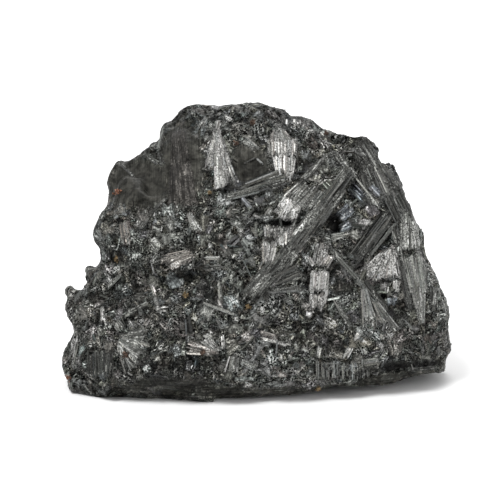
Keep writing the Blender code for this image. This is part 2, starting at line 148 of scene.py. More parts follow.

# Bundles of the broad face: from (u, v), to (u, v), width at both ends, tone, lift,
# how ragged the far end is, and a tint unless it is gray
# The bright silver bundles and sparks take high tones, partly the ore's lighter fibres and partly
# painted sheen where they catch the light.
FACE_BUNDLES = {
    # the silver tuft and what is round it
    "tuft top": ((-10.8, 73.2), (-11.2, 69.8), (1.8, 1.0), 0.46, 0.9, 0.3, "silver"),
    "back of the tuft": ((-11.2, 71.4), (-10.8, 59.4), (1.6, 8.6), 0.33, 1.1, 0.35, "silver"),
    "left of the tuft": ((-11.8, 69.0), (-13.9, 59.2), (1.0, 2.4), 0.44, 1.3, 0.35, "silver"),
    "tuft": ((-11.2, 70.0), (-9.8, 53.2), (1.4, 4.2), 0.56, 1.7, 0.20, "silver"),
    "right of the tuft": ((-10.2, 66.5), (-5.8, 54.0), (1.0, 2.8), 0.50, 1.4, 0.30, "silver"),
    "streak above the tuft": ((-14.0, 74.6), (-16.4, 70.6), (1.0, 1.8), 0.34, 0.8, 0.3),
    "light ridge": ((-26.0, 72.2), (-28.0, 64.6), (0.8, 1.0), 0.20, 0.5, 0.1),
    "foot of the ridge": ((-27.8, 65.0), (-26.4, 60.4), (1.0, 1.6), 0.14, 0.4, 0.2),
    "band at the left edge": ((-32.6, 64.2), (-27.4, 61.0), (1.0, 1.6), 0.17, 0.5, 0.2),
    "ridge on the skin": ((-39.2, 61.4), (-34.6, 57.4), (0.5, 0.9), 0.17, 0.4, 0.1),
    "striated skin": ((-22.2, 72.0), (-20.6, 48.6), (3.4, 8.6), 0.070, 0.15, 0.12, "warm"),
    "ridge under the skin": ((-24.8, 51.6), (-30.2, 46.4), (1.0, 1.4), 0.15, 0.5, 0.2),
    "patch beside the tuft": ((-3.8, 68.0), (0.6, 64.2), (2.4, 2.0), 0.30, 0.8, 0.35),
    # the bright diamond
    "diamond cap": ((5.8, 70.4), (6.4, 67.0), (3.4, 7.6), 0.36, 0.9, 0.35, "silver"),
    "diamond top": ((7.0, 67.6), (7.0, 62.4), (8.8, 8.0), 0.44, 1.3, 0.30, "silver"),
    "diamond left foot": ((6.2, 63.4), (6.6, 57.6), (4.6, 2.6), 0.48, 1.5, 0.20, "silver"),
    "diamond right foot": ((9.0, 63.4), (8.8, 56.0), (4.2, 2.0), 0.48, 1.4, 0.25, "silver"),
    "first tooth": ((8.3, 73.8), (8.3, 71.4), (0.8, 0.6), 0.60, 0.8, 0.2, "silver"),
    "second tooth": ((10.3, 73.8), (10.5, 71.2), (1.0, 0.8), 0.60, 0.8, 0.2, "silver"),
    "third tooth": ((11.5, 73.0), (11.9, 70.8), (0.8, 0.6), 0.50, 0.8, 0.2, "silver"),
    "spot at the edge": ((18.1, 70.6), (18.9, 69.0), (1.2, 1.0), 0.48, 0.6, 0.3),
    "small spot": ((13.8, 69.2), (14.2, 67.6), (0.8, 0.8), 0.40, 0.6, 0.3),
    # bands sweeping up to the right
    "gray band": ((-9.6, 51.2), (8.4, 57.4), (2.2, 5.8), 0.175, 0.8, 0.12),
    "upper gray band": ((-5.0, 54.4), (6.0, 58.8), (1.2, 2.2), 0.13, 0.6, 0.15),
    "lens blade": ((6.8, 50.8), (12.2, 55.4), (0.9, 1.8), 0.50, 1.6, 0.15, "silver"),
    "pale wedge": ((12.4, 55.8), (20.2, 63.8), (2.6, 0.9), 0.30, 1.6, 0.10),
    "arc in the hollow": ((-3.8, 60.8), (-0.4, 62.6), (0.4, 0.5), 0.17, 0.5, 0.1),
    "end of the arc": ((-0.6, 62.6), (1.8, 60.4), (0.5, 0.4), 0.20, 0.5, 0.1),
    "fan over the slit": ((7.4, 45.8), (15.6, 55.0), (6.0, 7.0), 0.21, 1.3, 0.15),
    "bright base of the fan": ((7.4, 45.2), (10.0, 50.6), (7.4, 5.4), 0.50, 1.5, 0.35, "silver"),
    "brightest of the base": ((7.0, 45.2), (8.8, 49.8), (3.0, 1.4), 0.90, 1.7, 0.25, "silver"),
    "left of the base": ((4.2, 48.6), (2.6, 46.2), (1.4, 1.8), 0.26, 1.0, 0.3),
    "right of the fan": ((13.0, 47.2), (18.2, 54.0), (1.6, 3.4), 0.20, 1.2, 0.15),
    "under the slit": ((6.0, 43.8), (5.8, 39.4), (8.6, 7.2), 0.40, 0.9, 0.35, "silver"),
    "bright under the slit": ((6.4, 41.8), (6.8, 37.8), (4.4, 2.4), 0.60, 1.1, 0.30, "silver"),
    "lower flake": ((3.4, 39.4), (3.0, 32.6), (4.6, 3.0), 0.46, 1.1, 0.18, "silver"),
    "edge of the lower flake": ((4.8, 37.6), (3.6, 33.2), (1.2, 1.4), 0.68, 1.3, 0.18, "silver"),
    "bit left of the slit": ((-1.2, 46.6), (0.8, 45.8), (0.8, 0.8), 0.52, 0.9, 0.2),
    # the long diagonal, the apex and the right bundle
    "foot of the diagonal": ((-3.2, 22.4), (5.4, 33.0), (5.6, 5.0), 0.17, 1.0, 0.12),
    "long diagonal": ((3.6, 29.0), (26.2, 59.6), (5.8, 3.2), 0.165, 1.5, 0.05),
    "dark line of the diagonal": ((13.2, 39.6), (17.0, 44.0), (0.4, 0.4), 0.03, 1.6, 0.05),
    "dark groove of the diagonal": ((20.4, 51.2), (25.2, 57.0), (0.5, 0.4), 0.03, 1.6, 0.05),
    "light edge of the diagonal": ((20.6, 54.6), (24.4, 59.8), (0.6, 0.8), 0.34, 1.9, 0.06),
    "light line of the diagonal": ((18.4, 49.6), (24.8, 57.6), (0.5, 0.5), 0.36, 1.9, 0.06),
    "right edge of the diagonal": ((16.6, 42.4), (24.6, 53.8), (1.8, 1.0), 0.19, 1.4, 0.1),
    "field under the apex": ((28.2, 68.4), (36.0, 49.6), (5.0, 9.6), 0.095, 0.9, 0.25),
    "apex lines": ((20.8, 65.2), (28.2, 55.2), (2.2, 3.0), 0.15, 1.0, 0.12),
    "apex blades": ((24.2, 60.8), (33.2, 48.8), (1.6, 2.2), 0.24, 1.8, 0.08),
    "light apex blade": ((26.6, 57.8), (34.4, 48.0), (0.6, 0.8), 0.36, 2.0, 0.05),
    "right bundle top": ((28.4, 67.4), (36.2, 54.6), (3.2, 5.6), 0.095, 1.4, 0.08),
    "first ridge": ((28.4, 68.4), (33.6, 59.8), (0.5, 0.7), 0.26, 1.7, 0.05),
    "second ridge": ((30.8, 66.8), (36.0, 58.0), (0.5, 0.6), 0.24, 1.7, 0.05),
    "right bundle middle": ((34.0, 60.4), (41.8, 45.2), (5.6, 7.2), 0.092, 1.4, 0.08),
    "third ridge": ((35.2, 57.8), (39.6, 47.2), (0.5, 0.7), 0.20, 1.8, 0.05),
    "shaded side of the foot": ((37.8, 44.6), (42.6, 19.6), (2.2, 2.0), 0.115, 1.1, 0.1),
    "right bundle foot": ((42.6, 48.2), (43.4, 36.8), (5.4, 9.4), 0.34, 1.4, 0.05),
    "end of the right bundle": ((43.5, 36.6), (45.8, 16.0), (8.6, 1.4), 0.36, 1.4, 0.08),
    # round the cavity
    "flake under the cavity": ((20.2, 40.0), (24.4, 41.0), (2.6, 1.8), 0.36, 1.2, 0.2),
    "nodule": ((22.4, 45.6), (26.4, 48.8), (3.4, 3.6), 0.27, 1.5, 0.3, "cool"),
    "lower nodule": ((22.6, 42.2), (26.6, 44.4), (2.6, 2.4), 0.25, 1.2, 0.3, "cool"),
    "upper nodule": ((25.8, 54.6), (29.6, 51.0), (3.4, 3.0), 0.19, 1.2, 0.4, "cool"),
    "sparkles by the ridge": ((31.6, 55.0), (34.6, 51.6), (2.4, 2.0), 0.17, 1.0, 0.4, "cool"),
    "spark in the nodules": ((27.0, 54.4), (27.6, 52.4), (0.9, 0.9), 0.70, 1.4, 0.3, "cool"),
    "flake in the nodules": ((27.4, 52.8), (29.4, 50.4), (1.8, 1.2), 0.40, 1.3, 0.3, "cool"),
    "crossing band": ((26.4, 33.4), (37.4, 47.8), (4.4, 4.0), 0.085, 1.4, 0.1),
    "line on the crossing band": ((34.0, 41.2), (37.4, 46.4), (0.5, 0.6), 0.22, 1.7, 0.05),
    "edge of the crossing band": ((29.6, 33.2), (38.8, 44.6), (0.8, 1.0), 0.16, 1.6, 0.05),
    # the pale fan and the tuft under it
    "pale fan left": ((36.8, 37.8), (30.4, 29.2), (0.8, 6.4), 0.42, 1.6, 0.10, "silver"),
    "pale fan middle": ((36.9, 38.0), (34.0, 28.6), (0.8, 4.4), 0.44, 1.8, 0.10, "silver"),
    "pale fan right": ((37.3, 38.4), (37.7, 29.0), (1.2, 4.8), 0.52, 1.8, 0.12, "silver"),
    "under the fan, left": ((35.4, 28.0), (35.2, 24.4), (3.0, 2.0), 0.52, 1.0, 0.4, "silver"),
    "under the fan, right": ((38.6, 28.8), (38.4, 25.0), (2.2, 1.4), 0.56, 1.0, 0.4, "silver"),
    "last bit under the fan": ((37.4, 23.4), (37.2, 21.2), (3.2, 1.6), 0.40, 0.9, 0.4, "cool"),
    # the bright column
    "column top": ((18.0, 39.0), (17.0, 32.2), (3.4, 5.0), 0.34, 1.1, 0.25, "silver"),
    "column top left": ((13.8, 35.4), (16.0, 31.4), (1.0, 1.4), 0.50, 1.3, 0.25, "silver"),
    "column top right": ((20.6, 35.6), (18.2, 32.0), (1.6, 2.6), 0.52, 1.3, 0.25, "silver"),
    "column": ((17.6, 31.4), (16.8, 24.8), (5.0, 4.8), 0.56, 1.5, 0.18, "silver"),
    "column left": ((15.6, 31.4), (15.2, 25.0), (1.2, 1.2), 0.85, 1.7, 0.12, "silver"),
    "column right": ((18.6, 31.2), (18.0, 26.0), (1.8, 1.4), 0.80, 1.7, 0.2, "silver"),
    "column foot": ((16.8, 24.8), (16.0, 20.0), (4.6, 4.4), 0.40, 1.2, 0.4, "silver"),
    "column side": ((19.4, 26.6), (18.6, 21.4), (1.1, 0.8), 0.66, 1.3, 0.3, "silver"),
    "column tip": ((14.4, 20.0), (14.2, 18.2), (1.8, 1.4), 0.74, 1.2, 0.3, "silver"),
    # thin blades of the lower right
    "thin blade top": ((20.0, 37.2), (27.6, 29.0), (0.9, 1.3), 0.27, 1.5, 0.05),
    "thin blade": ((26.8, 29.8), (38.8, 14.2), (1.5, 2.4), 0.22, 1.6, 0.08),
    "dark slab beside it": ((29.4, 28.4), (36.2, 19.2), (1.8, 3.0), 0.075, 1.3, 0.1),
    "light line on the slab": ((30.4, 27.6), (34.0, 20.8), (0.4, 0.4), 0.34, 1.6, 0.03),
    "gray blades beside them": ((32.4, 23.0), (36.0, 16.6), (1.6, 3.0), 0.24, 1.1, 0.2),
    "light blades": ((29.2, 26.6), (31.0, 15.0), (1.8, 5.6), 0.38, 1.4, 0.2),
    "slanting wedge": ((20.8, 24.2), (25.2, 16.6), (0.9, 2.0), 0.31, 1.3, 0.15),
    "thin low laths": ((1.8, 25.4), (13.2, 26.2), (1.5, 1.8), 0.20, 0.8, 0.1),
    "gray slab": ((4.6, 28.0), (12.2, 31.8), (3.6, 4.8), 0.125, 0.6, 0.2),
    "right flank": ((49.4, 27.0), (49.4, 19.8), (2.4, 2.8), 0.16, 0.7, 0.25),
    "flank flake": ((52.2, 23.4), (51.6, 19.8), (1.6, 1.6), 0.27, 0.7, 0.3),
    "flank sliver": ((50.4, 20.0), (50.4, 17.0), (0.8, 0.7), 0.36, 0.7, 0.2),
    "bits at the blade foot": ((33.8, 18.0), (36.4, 15.8), (1.6, 1.2), 0.38, 0.9, 0.35),
    "lath at the blade foot": ((40.8, 17.4), (43.4, 14.6), (0.7, 0.7), 0.34, 0.9, 0.1),
    # the lower middle
    "bright lens": ((0.4, 12.6), (9.2, 10.4), (1.0, 1.4), 0.66, 1.5, 0.15, "silver"),
    "top of the lens": ((0.8, 14.2), (6.2, 12.4), (1.2, 1.6), 0.36, 1.2, 0.25, "warm"),
    "bit beyond the lens": ((10.4, 11.0), (11.2, 9.0), (1.4, 1.0), 0.46, 0.9, 0.3),
    "second bit": ((12.2, 9.8), (14.6, 8.4), (1.0, 0.8), 0.44, 0.9, 0.3),
    "leaning lath": ((13.5, 5.8), (10.8, 2.8), (0.5, 0.6), 0.48, 1.0, 0.05),
    "short row left": ((6.6, 8.4), (6.6, 6.0), (1.6, 1.2), 0.38, 0.9, 0.3),
    "short row right": ((9.2, 8.2), (8.8, 5.8), (1.4, 1.0), 0.34, 0.9, 0.3),
    "spark over the comb": ((17.4, 10.4), (16.8, 7.0), (1.0, 1.0), 0.58, 1.0, 0.25),
    "flake over the comb": ((26.0, 10.0), (24.2, 6.6), (1.4, 1.6), 0.60, 1.1, 0.2, "silver"),
    "spark right of the comb": ((29.4, 9.6), (30.0, 7.6), (1.6, 1.2), 0.52, 0.9, 0.3),
    "high flake": ((28.2, 14.0), (27.0, 11.2), (1.6, 1.4), 0.56, 1.0, 0.3, "silver"),
    "right flake": ((34.0, 13.4), (35.4, 11.6), (1.3, 1.0), 0.44, 0.9, 0.3),
    "patch by the crevice": ((29.2, 5.4), (34.0, 6.2), (2.2, 2.0), 0.28, 0.8, 0.25),
    "slab under the crevice": ((41.6, 3.2), (52.2, 3.6), (1.8, 2.0), 0.115, 0.3, 0.15),
    "lump at the right": ((51.0, 9.8), (51.6, 6.8), (2.0, 2.0), 0.25, 0.6, 0.3),
    # the lower left
    "left fan, up": ((-38.6, 12.6), (-30.2, 13.2), (1.4, 5.4), 0.24, 1.0, 0.25),
    "left fan": ((-38.6, 12.4), (-30.6, 8.2), (1.4, 7.0), 0.29, 1.2, 0.2),
    "left fan, down": ((-38.4, 11.4), (-34.2, 3.6), (1.6, 5.6), 0.25, 1.1, 0.25),
    "wide fan, left": ((-10.2, 8.4), (-19.6, 10.2), (0.8, 4.6), 0.36, 1.3, 0.2, "warm"),
    "wide fan, up": ((-10.4, 8.8), (-14.8, 13.2), (0.8, 4.4), 0.38, 1.3, 0.2),
    "bright ray": ((-10.2, 8.8), (-13.4, 12.0), (0.5, 0.7), 0.60, 1.6, 0.05, "silver"),
    "upright beside the fan": ((-9.6, 13.4), (-9.2, 9.6), (0.8, 1.0), 0.56, 1.2, 0.2, "silver"),
    "block edge": ((-7.5, 7.9), (-8.9, 3.2), (0.5, 0.7), 0.52, 1.3, 0.05),
    "block": ((-6.1, 7.9), (-6.6, 2.8), (2.6, 3.2), 0.24, 1.1, 0.2),
    "chunk beside the block": ((-4.4, 6.2), (-0.4, 4.4), (1.6, 2.2), 0.38, 1.0, 0.25),
    "light line": ((-29.6, 34.6), (-28.6, 30.0), (0.45, 0.5), 0.62, 1.1, 0.05, "silver"),
    "upper spark": ((-29.4, 27.2), (-28.2, 23.8), (1.2, 1.2), 0.66, 1.0, 0.4, "silver"),
    "lower spark": ((-28.6, 24.0), (-26.8, 19.6), (1.2, 0.9), 0.56, 1.0, 0.4, "silver"),
    "ridge to the left": ((-30.2, 22.2), (-37.2, 18.4), (1.4, 1.6), 0.30, 0.9, 0.2),
    "shard": ((-43.2, 21.6), (-42.4, 16.0), (0.6, 2.0), 0.52, 0.9, 0.2, "silver"),
    "ridge over the hollow": ((-37.4, 30.6), (-42.2, 25.8), (1.0, 1.2), 0.26, 0.9, 0.15),
    "cluster": ((-39.4, 17.2), (-37.4, 14.6), (2.2, 2.6), 0.30, 0.9, 0.4),
    "light flake": ((-17.6, 35.8), (-26.6, 32.6), (3.0, 5.8), 0.28, 1.0, 0.3, "warm"),
    "streak beside the flake": ((-18.3, 36.8), (-17.3, 31.4), (0.5, 0.6), 0.36, 0.9, 0.1),
    "level laths": ((-14.8, 34.6), (-10.2, 34.6), (1.0, 1.2), 0.38, 0.9, 0.2),
    "lower level laths": ((-15.2, 31.6), (-9.4, 32.2), (1.2, 1.6), 0.26, 0.8, 0.2),
    "upright flake": ((-10.6, 28.2), (-10.0, 22.2), (1.0, 1.4), 0.44, 1.0, 0.25),
    "falling ridge": ((-16.6, 22.8), (-4.8, 18.4), (0.8, 1.2), 0.31, 1.1, 0.1),
    "upright cluster": ((-19.0, 47.2), (-16.2, 41.2), (1.4, 3.2), 0.38, 1.0, 0.3),
    "left cluster": ((-37.4, 44.8), (-36.0, 38.0), (2.2, 3.0), 0.32, 0.8, 0.35, "warm"),
    "small sliver": ((-29.2, 43.4), (-27.0, 42.2), (0.8, 0.8), 0.48, 0.9, 0.2),
    "edge sliver": ((-50.2, 21.0), (-47.2, 22.2), (0.4, 0.5), 0.38, 0.6, 0.1),
    "edge streak": ((-50.2, 11.4), (-51.4, 4.2), (1.2, 1.0), 0.26, 0.5, 0.2),
    "upright skin": ((-43.8, 9.4), (-43.4, 1.0), (7.0, 8.0), 0.090, 0.3, 0.3),
    "upright fibre": ((-44.4, 5.4), (-45.0, 2.0), (0.35, 0.4), 0.34, 0.6, 0.1),
    "second upright fibre": ((-41.7, 5.6), (-42.0, 1.8), (0.35, 0.4), 0.34, 0.6, 0.1),
    "third upright fibre": ((-40.3, 6.2), (-40.8, 2.8), (0.35, 0.4), 0.30, 0.6, 0.1),
}

COMB = (16.6, 31.0, 1.42)       # from u, to u, and between its teeth
COMB_TOP = 6.8
COMB_FOOT = 0.4
COMB_TONES = (0.28, 0.36, 0.24, 0.40)           # of its teeth, in turn
SWIRL = (-3.2, 48.0)            # middle of the curled fibres
SWIRL_RADII = (1.5, 2.7)
SWIRL_TONES = (0.14, 0.24, 0.18)

# Smooth hollows of the broad face, darkened with painted shade the deeper they are: (u, v), half
# sizes, turn, depth
HOLLOW_SWAY = 1.8               # over which their rims sway in and out
HOLLOW_SHIFT = 0.8              # how far, as a share of the second half size
# painted shade of the hollows, and the most of it
HOLLOW_SHADE = 0.65             # for each millimetre of depth
DARKEST_HOLLOW = 0.97
HOLLOWS = (
    ((-1.2, 58.4), (4.8, 3.6), 20, 0.9), ((14.6, 61.8), (4.0, 1.7), 25, 0.9),
    ((-35.0, 23.6), (5.6, 4.2), 0, 0.9), ((-46.0, 23.6), (2.2, 1.5), 0, 0.7),
    ((-20.6, 29.4), (3.6, 1.0), 0, 1.1), ((-12.2, 24.2), (2.0, 3.0), 30, 0.9),
    ((-11.0, 39.4), (2.1, 0.9), 0, 1.0), ((-18.6, 37.9), (1.6, 1.0), -20, 0.8),
    ((-38.0, 34.4), (2.6, 1.9), 0, 0.8), ((21.2, 44.6), (1.9, 2.8), 0, 1.7),
    ((27.2, 36.8), (3.2, 3.4), 40, 0.3), ((23.6, 26.6), (2.8, 2.6), 0, 0.9),
    ((39.2, 20.4), (2.4, 3.8), 20, 0.5), ((22.3, 10.2), (2.2, 3.2), 0, 0.8),
    ((32.6, 46.6), (1.4, 1.2), 0, 0.6), ((0.3, 47.4), (1.2, 0.7), 0, 1.0),
    ((-18.0, 61.8), (1.8, 0.45), 0, 0.6), ((-27.8, 63.2), (0.8, 0.8), 0, 0.7),
    ((12.2, 13.0), (3.0, 1.8), 0, 0.7), ((6.6, 44.3), (5.6, 1.15), 2, 1.8),
    ((3.0, 39.6), (1.6, 0.5), 0, 1.5), ((4.6, 33.6), (1.8, 0.4), 45, 1.0),
    ((12.4, 46.4), (1.6, 0.7), 45, 1.2), ((30.4, 2.6), (6.0, 1.2), 18, 1.3),
    ((38.0, 3.9), (6.0, 1.4), 6, 1.6), ((46.5, 4.8), (6.5, 1.1), 4, 1.6),
    ((-16.0, 5.6), (5.0, 0.8), -5, 0.8), ((-29.0, 4.6), (3.0, 0.9), 0, 0.6),
    ((3.0, 9.0), (1.8, 0.7), 10, 0.7),
    ((34.0, 28.2), (3.2, 0.45), 3, 0.8), ((17.0, 31.8), (1.6, 0.3), 5, 0.7),
    ((16.6, 24.8), (1.8, 0.3), 8, 0.7), ((43.0, 36.7), (2.2, 0.28), 0, 0.8),
    ((-26.6, 12.4), (1.4, 0.8), -40, 0.8), ((-30.4, 18.2), (2.4, 0.9), -40, 0.9),
)

# Cuts into the outline of the broad face, and swellings where negative: (u, v), radius, depth
NOTCHES = (
    ((36.4, 62.8), 2.0, 3.2), ((-50.6, 27.6), 1.8, 2.8), ((-48.0, 31.6), 1.8, -1.9),
    ((-54.2, 25.4), 1.9, -1.2), ((24.0, 70.4), 5.0, 1.4), ((49.2, 36.2), 3.5, 1.0),
    ((-46.0, 36.0), 2.6, 0.9), ((-53.6, 14.4), 2.6, 1.0), ((-54.6, -1.0), 2.2, 1.0),
    ((-26.8, 71.4), 2.6, -1.0), ((-38.0, 62.4), 2.8, -0.8), ((13.6, 73.6), 3.0, -0.8),
)

# Where the foot rises off the floor: (u, v), half sizes, turn, height
RISE_FADE = (-2.0, 6.0)         # the rise is full at the first w, and ends at the second
FOOT_RISES = (
    ((4.0, -5.6), (9.0, 2.6), 0, 1.5), ((24.0, -4.6), (15.0, 3.2), 0, 2.7),
    ((46.0, -2.6), (9.0, 3.6), 8, 3.2),
)

# How the crystals lie in parts of the broad face: (u, v), half sizes, turn, habit
FACE_PARTS = (
    ((-33.0, 55.5), (10.5, 8.0), 0, "skin"), ((-21.0, 61.0), (7.0, 13.0), 0, "skin"),
    # the skins along the foot darken the band under the stone, partly as painted shade
    ((-26.0, -1.2), (18.0, 3.0), 0, "skin"), ((-6.0, -3.0), (30.0, 1.8), 0, "skin"),
    ((40.0, 0.6), (13.0, 2.8), 8, "skin"), ((-46.0, 4.0), (7.0, 8.0), 0, "dull"),
    ((0.0, 74.5), (28.0, 4.0), 0, "dull"), ((20.0, 66.0), (9.0, 4.0), -20, "dull"),
    ((-2.4, 60.6), (6.0, 6.6), 0, "skin"), ((50.0, 24.0), (4.0, 12.0), 0, "dull"),
    ((9.0, 30.0), (9.0, 7.0), 40, "dull"), ((28.0, 52.0), (6.0, 4.5), 0, "sparkling"),
    ((22.0, 42.0), (7.0, 4.0), 0, "sparkling"), ((8.0, 5.0), (16.0, 7.0), 0, "sparkling"),
    ((30.0, 11.0), (10.0, 4.0), 0, "sparkling"), ((-16.0, 17.0), (10.0, 4.0), 0, "sparkling"),
)

# Rust and other coloured grains: (u, v), radius, colour
RUST = (0.15, 0.068, 0.042)
OCHRE = (0.17, 0.125, 0.07)
BROWN = (0.060, 0.040, 0.030)
SPECKS = (
    ((-39.5, 53.1), 0.95, RUST), ((-2.5, 21.2), 0.8, OCHRE), ((-53.0, 0.8), 1.1, RUST),
    ((-36.4, 8.0), 0.9, BROWN), ((-39.4, 34.2), 0.8, OCHRE), ((-1.1, 72.5), 0.7, BROWN),
    ((-20.0, 24.4), 0.7, OCHRE), ((17.0, -2.0), 0.7, OCHRE), ((-15.0, 8.8), 0.8, BROWN),
    ((-5.8, 66.4), 0.7, BROWN), ((19.6, 69.6), 0.6, BROWN), ((-13.2, 52.8), 0.5, OCHRE),
)

# Lighter and darker areas of the broad face, partly ore tone and partly painted light and shade, as
# on the darkened rims, upper edge, left shoulder and foot: (u, v), half sizes, turn, factor
FACE_TONES_AND_PAINTED_SHADE = (
    ((-8.0, 33.4), (7.0, 9.0), 0, 1.45), ((6.0, 23.0), (8.0, 9.0), 0, 1.60),
    ((-16.5, 18.4), (10.0, 5.0), 0, 1.60), ((16.5, 35.0), (5.0, 6.0), 0, 1.60),
    ((29.4, 20.5), (5.0, 9.0), 0, 1.60), ((50.4, 28.0), (4.0, 12.0), 10, 2.10),
    ((1.4, 1.2), (10.0, 4.5), 0, 1.50), ((-9.0, 75.6), (22.0, 4.0), 0, 0.62),
    ((-19.0, 69.6), (9.0, 5.0), 0, 0.78), ((37.3, 58.0), (5.0, 8.0), 30, 0.70),
    ((-23.4, 4.9), (9.0, 5.0), 0, 0.42), ((10.0, 76.5), (13.0, 5.5), -15, 0.55),
    ((-8.6, 45.0), (6.0, 5.0), 0, 1.20), ((-32.5, 14.0), (5.0, 4.0), 0, 1.40),
    ((-35.0, 64.0), (8.0, 5.0), 35, 0.58), ((25.0, 33.0), (7.0, 5.0), 0, 1.35),
    ((30.0, 47.6), (5.0, 5.0), 0, 1.50), ((8.0, -0.5), (9.0, 3.5), 0, 1.35),
    ((28.0, 5.0), (11.0, 5.0), 0, 1.35), ((-20.0, 1.8), (10.0, 4.0), 0, 0.80),
    ((-46.6, 38.0), (3.0, 9.0), 0, 0.50), ((-55.0, 17.0), (3.2, 9.0), 0, 0.60),
    ((1.0, 57.0), (6.0, 6.0), 0, 1.40),
)

# How crystals lie: share of the seeds kept, length, width for the length, lift,
# tilt in degrees, tone and its spread, roughness
Habit = namedtuple("Habit", "keep length aspect lift tilt tone spread rough")
HABITS = {
    "granular": Habit(0.30, (0.8, 2.8), (0.30, 0.8), (-0.20, 0.14), 12.0, 0.130, 0.60, (0.30, 0.50)),
    "sparkling": Habit(0.48, (0.7, 2.0), (0.35, 0.9), (-0.18, 0.18), 14.0, 0.170, 0.75, (0.26, 0.42)),
    "fibrous": Habit(0.30, (2.4, 6.0), (0.20, 0.5), (-0.10, 0.14), 6.0, 0.130, 0.40, (0.34, 0.50)),
    "dull": Habit(0.22, (1.0, 3.0), (0.25, 0.6), (-0.20, 0.06), 8.0, 0.080, 0.40, (0.42, 0.60)),
    "skin": Habit(0.03, (1.0, 2.6), (0.3, 0.8), (-0.20, 0.05), 5.0, 0.060, 0.35, (0.45, 0.62)),
}
SIDE_HABITS = (("granular", 0.42), ("sparkling", 0.14), ("fibrous", 0.24), ("dull", 0.20))
SEED_SPACING = 1.5
BRIGHTEST_SEED = 0.40
PART_SPACING = 11.0             # of the parts with one habit, away from the broad face
SWARM_SPACING = 5.0             # neighbouring bundles share a direction over this distance
SWARM_JITTER = 0.5
LATH_PITCH = (0.28, 0.46)       # between the laths of a small bundle
SHORT = 3.4                     # shorter bundles get laths of two stations

FLAKE_SPACING = 4.6             # of the flakes between the named bundles
FLAKE_LENGTH = (3.0, 6.5)
FLAKE_START = (0.15, 0.6)       # width of the near end for the length
FLAKE_END = (0.5, 1.0)          # and of the far end
FLAKE_LIFT = (0.0, 0.45)
FLAKE_TILT = 0.12
FLAKE_TONE = 0.20
FLAKE_SPREAD = 0.42             # of its tone
BRIGHTEST_FLAKE = 0.38

SIDE_BUNDLE_SPACING = 11.0      # of the large bundles away from the broad face
SIDE_BUNDLE_LENGTH = (8.0, 26.0)
SIDE_BUNDLE_ASPECT = (0.12, 0.38)               # width for the length
SIDE_FANS = (1.0, 0.25, 0.5)    # width of the near end for the width of the far end
SIDE_LIFT = (0.3, 0.9)
SIDE_ROUGH = (0.38, 0.48)
SIDE_TONES = (0.17, 0.22, 0.28, 0.46)
SIDE_TONE_SHARES = (0.34, 0.30, 0.22, 0.14)
NAMED_PITCH = 0.55              # between the laths of a large bundle
CLINGING = 0.55                 # laths farther off the ground are left out
BRIDGING = 0.9                  # and so are those over deeper dips
RAISED = 0.12                   # flatter bundles have no laths, only their ground
LATH_LIFT = 0.10                # of the laths of bundles, over their ground
LATH_RELIEF = (-0.25, 2.4)
LATH_RISE = 0.6                 # how much of a bump under it raises a lath
LATH_STRAIGHT = 0.8             # the rest follows the ground
LATH_TOP = 0.06                 # of its upper side, over its spine
LATH_DROP = 0.35                # of its upper side at a tapered end
LATH_ROOT = 0.6                 # how deep it reaches into the ground
LATH_NARROWING = 0.6            # at a tapered end
LATH_SHADE = 0.26               # how much the laths of a bundle differ in tone
LINK_LENGTH = 11.0              # longer bundles are chains of bundles this long
LOWEST_CORNER = 0.04            # of crystals, over the floor
GRAIN_COUNT = 3000              # loose grains everywhere but on the skins
GRAIN_SIZE = (0.12, 0.32)
GRAIN_TONE = 0.10
SPECK_GRAINS = 30               # grains of one coloured speck
SPECK_SIZE = (0.16, 0.36)

# What the ground has at each of its points
Ground = namedtuple("Ground", "places normals height colour rough fibres broken covered")

# One bundle of laths: early and late make its ends ragged, roll leans its laths, uneven
# steps them, crown lowers its sides, and crumbly is how broken its ground looks
BUNDLE = np.dtype([
    ("centre", float, 3), ("outward", float, 3), ("grain", float, 3), ("length", float),
    ("start_width", float), ("end_width", float), ("pitch", float), ("lift", float),
    ("crown", float), ("tilt", float, 2), ("colour", float, 3), ("rough", float),
    ("early", float), ("late", float), ("roll", float), ("taper", float, 2), ("uneven", float),
    ("crumbly", float),
])

# Stations along a lath
TWO_STATIONS = np.array([0.0, 1.0])
FOUR_STATIONS = np.array([0.0, 0.16, 0.82, 1.0])
LATHS_PER_PIECE = {2: 15000, 4: 6500}           # at most, for each number of stations

TINT = "tint"                   # colour attribute: colour, with roughness as its alpha
BROKEN = "broken"               # attribute of the ground: 1 where broken, 0 on smooth skin
FIBRES = "fibres"               # attribute of the ground: along and across, in millimetres
FIBRE_MAP = "fibre"             # UV map: along and across each lath, in millimetres
BAKE_MAP = "OFBake"             # UV map: a chart whose faces don't overlap
CHART_GAP = 2.0                 # between the boxes of the ground's chart, in millimetres
LATH_APART = (3.7, 1.3)         # between the fibre coordinates of two laths
# Of a lath's cell in the chart: its edge, the length and width of a side, and the ends
CELL_EDGE = 0.06
CELL_LENGTH = 0.80
CELL_SIDE = 0.22
CELL_ENDS = (0.88, 0.94)
CELL_END_WIDTH = 0.4


def on_face_plane(u, v):
    """Points of the plane w = 0, in the solid's frame."""
    u, v = (np.asarray(value, float)[..., None] for value in (u, v))
    return FACE_ORIGIN + u * ACROSS + v * UP_FACE


def unit(vectors):
    """Vectors at a length of 1."""
    return vectors / np.maximum(np.linalg.norm(vectors, axis=-1, keepdims=True), 1e-9)


def blend(low, high, amount):
    """From low to high, where amount is one number per place."""
    amount = amount[:, None]
    return low * (1.0 - amount) + high * amount


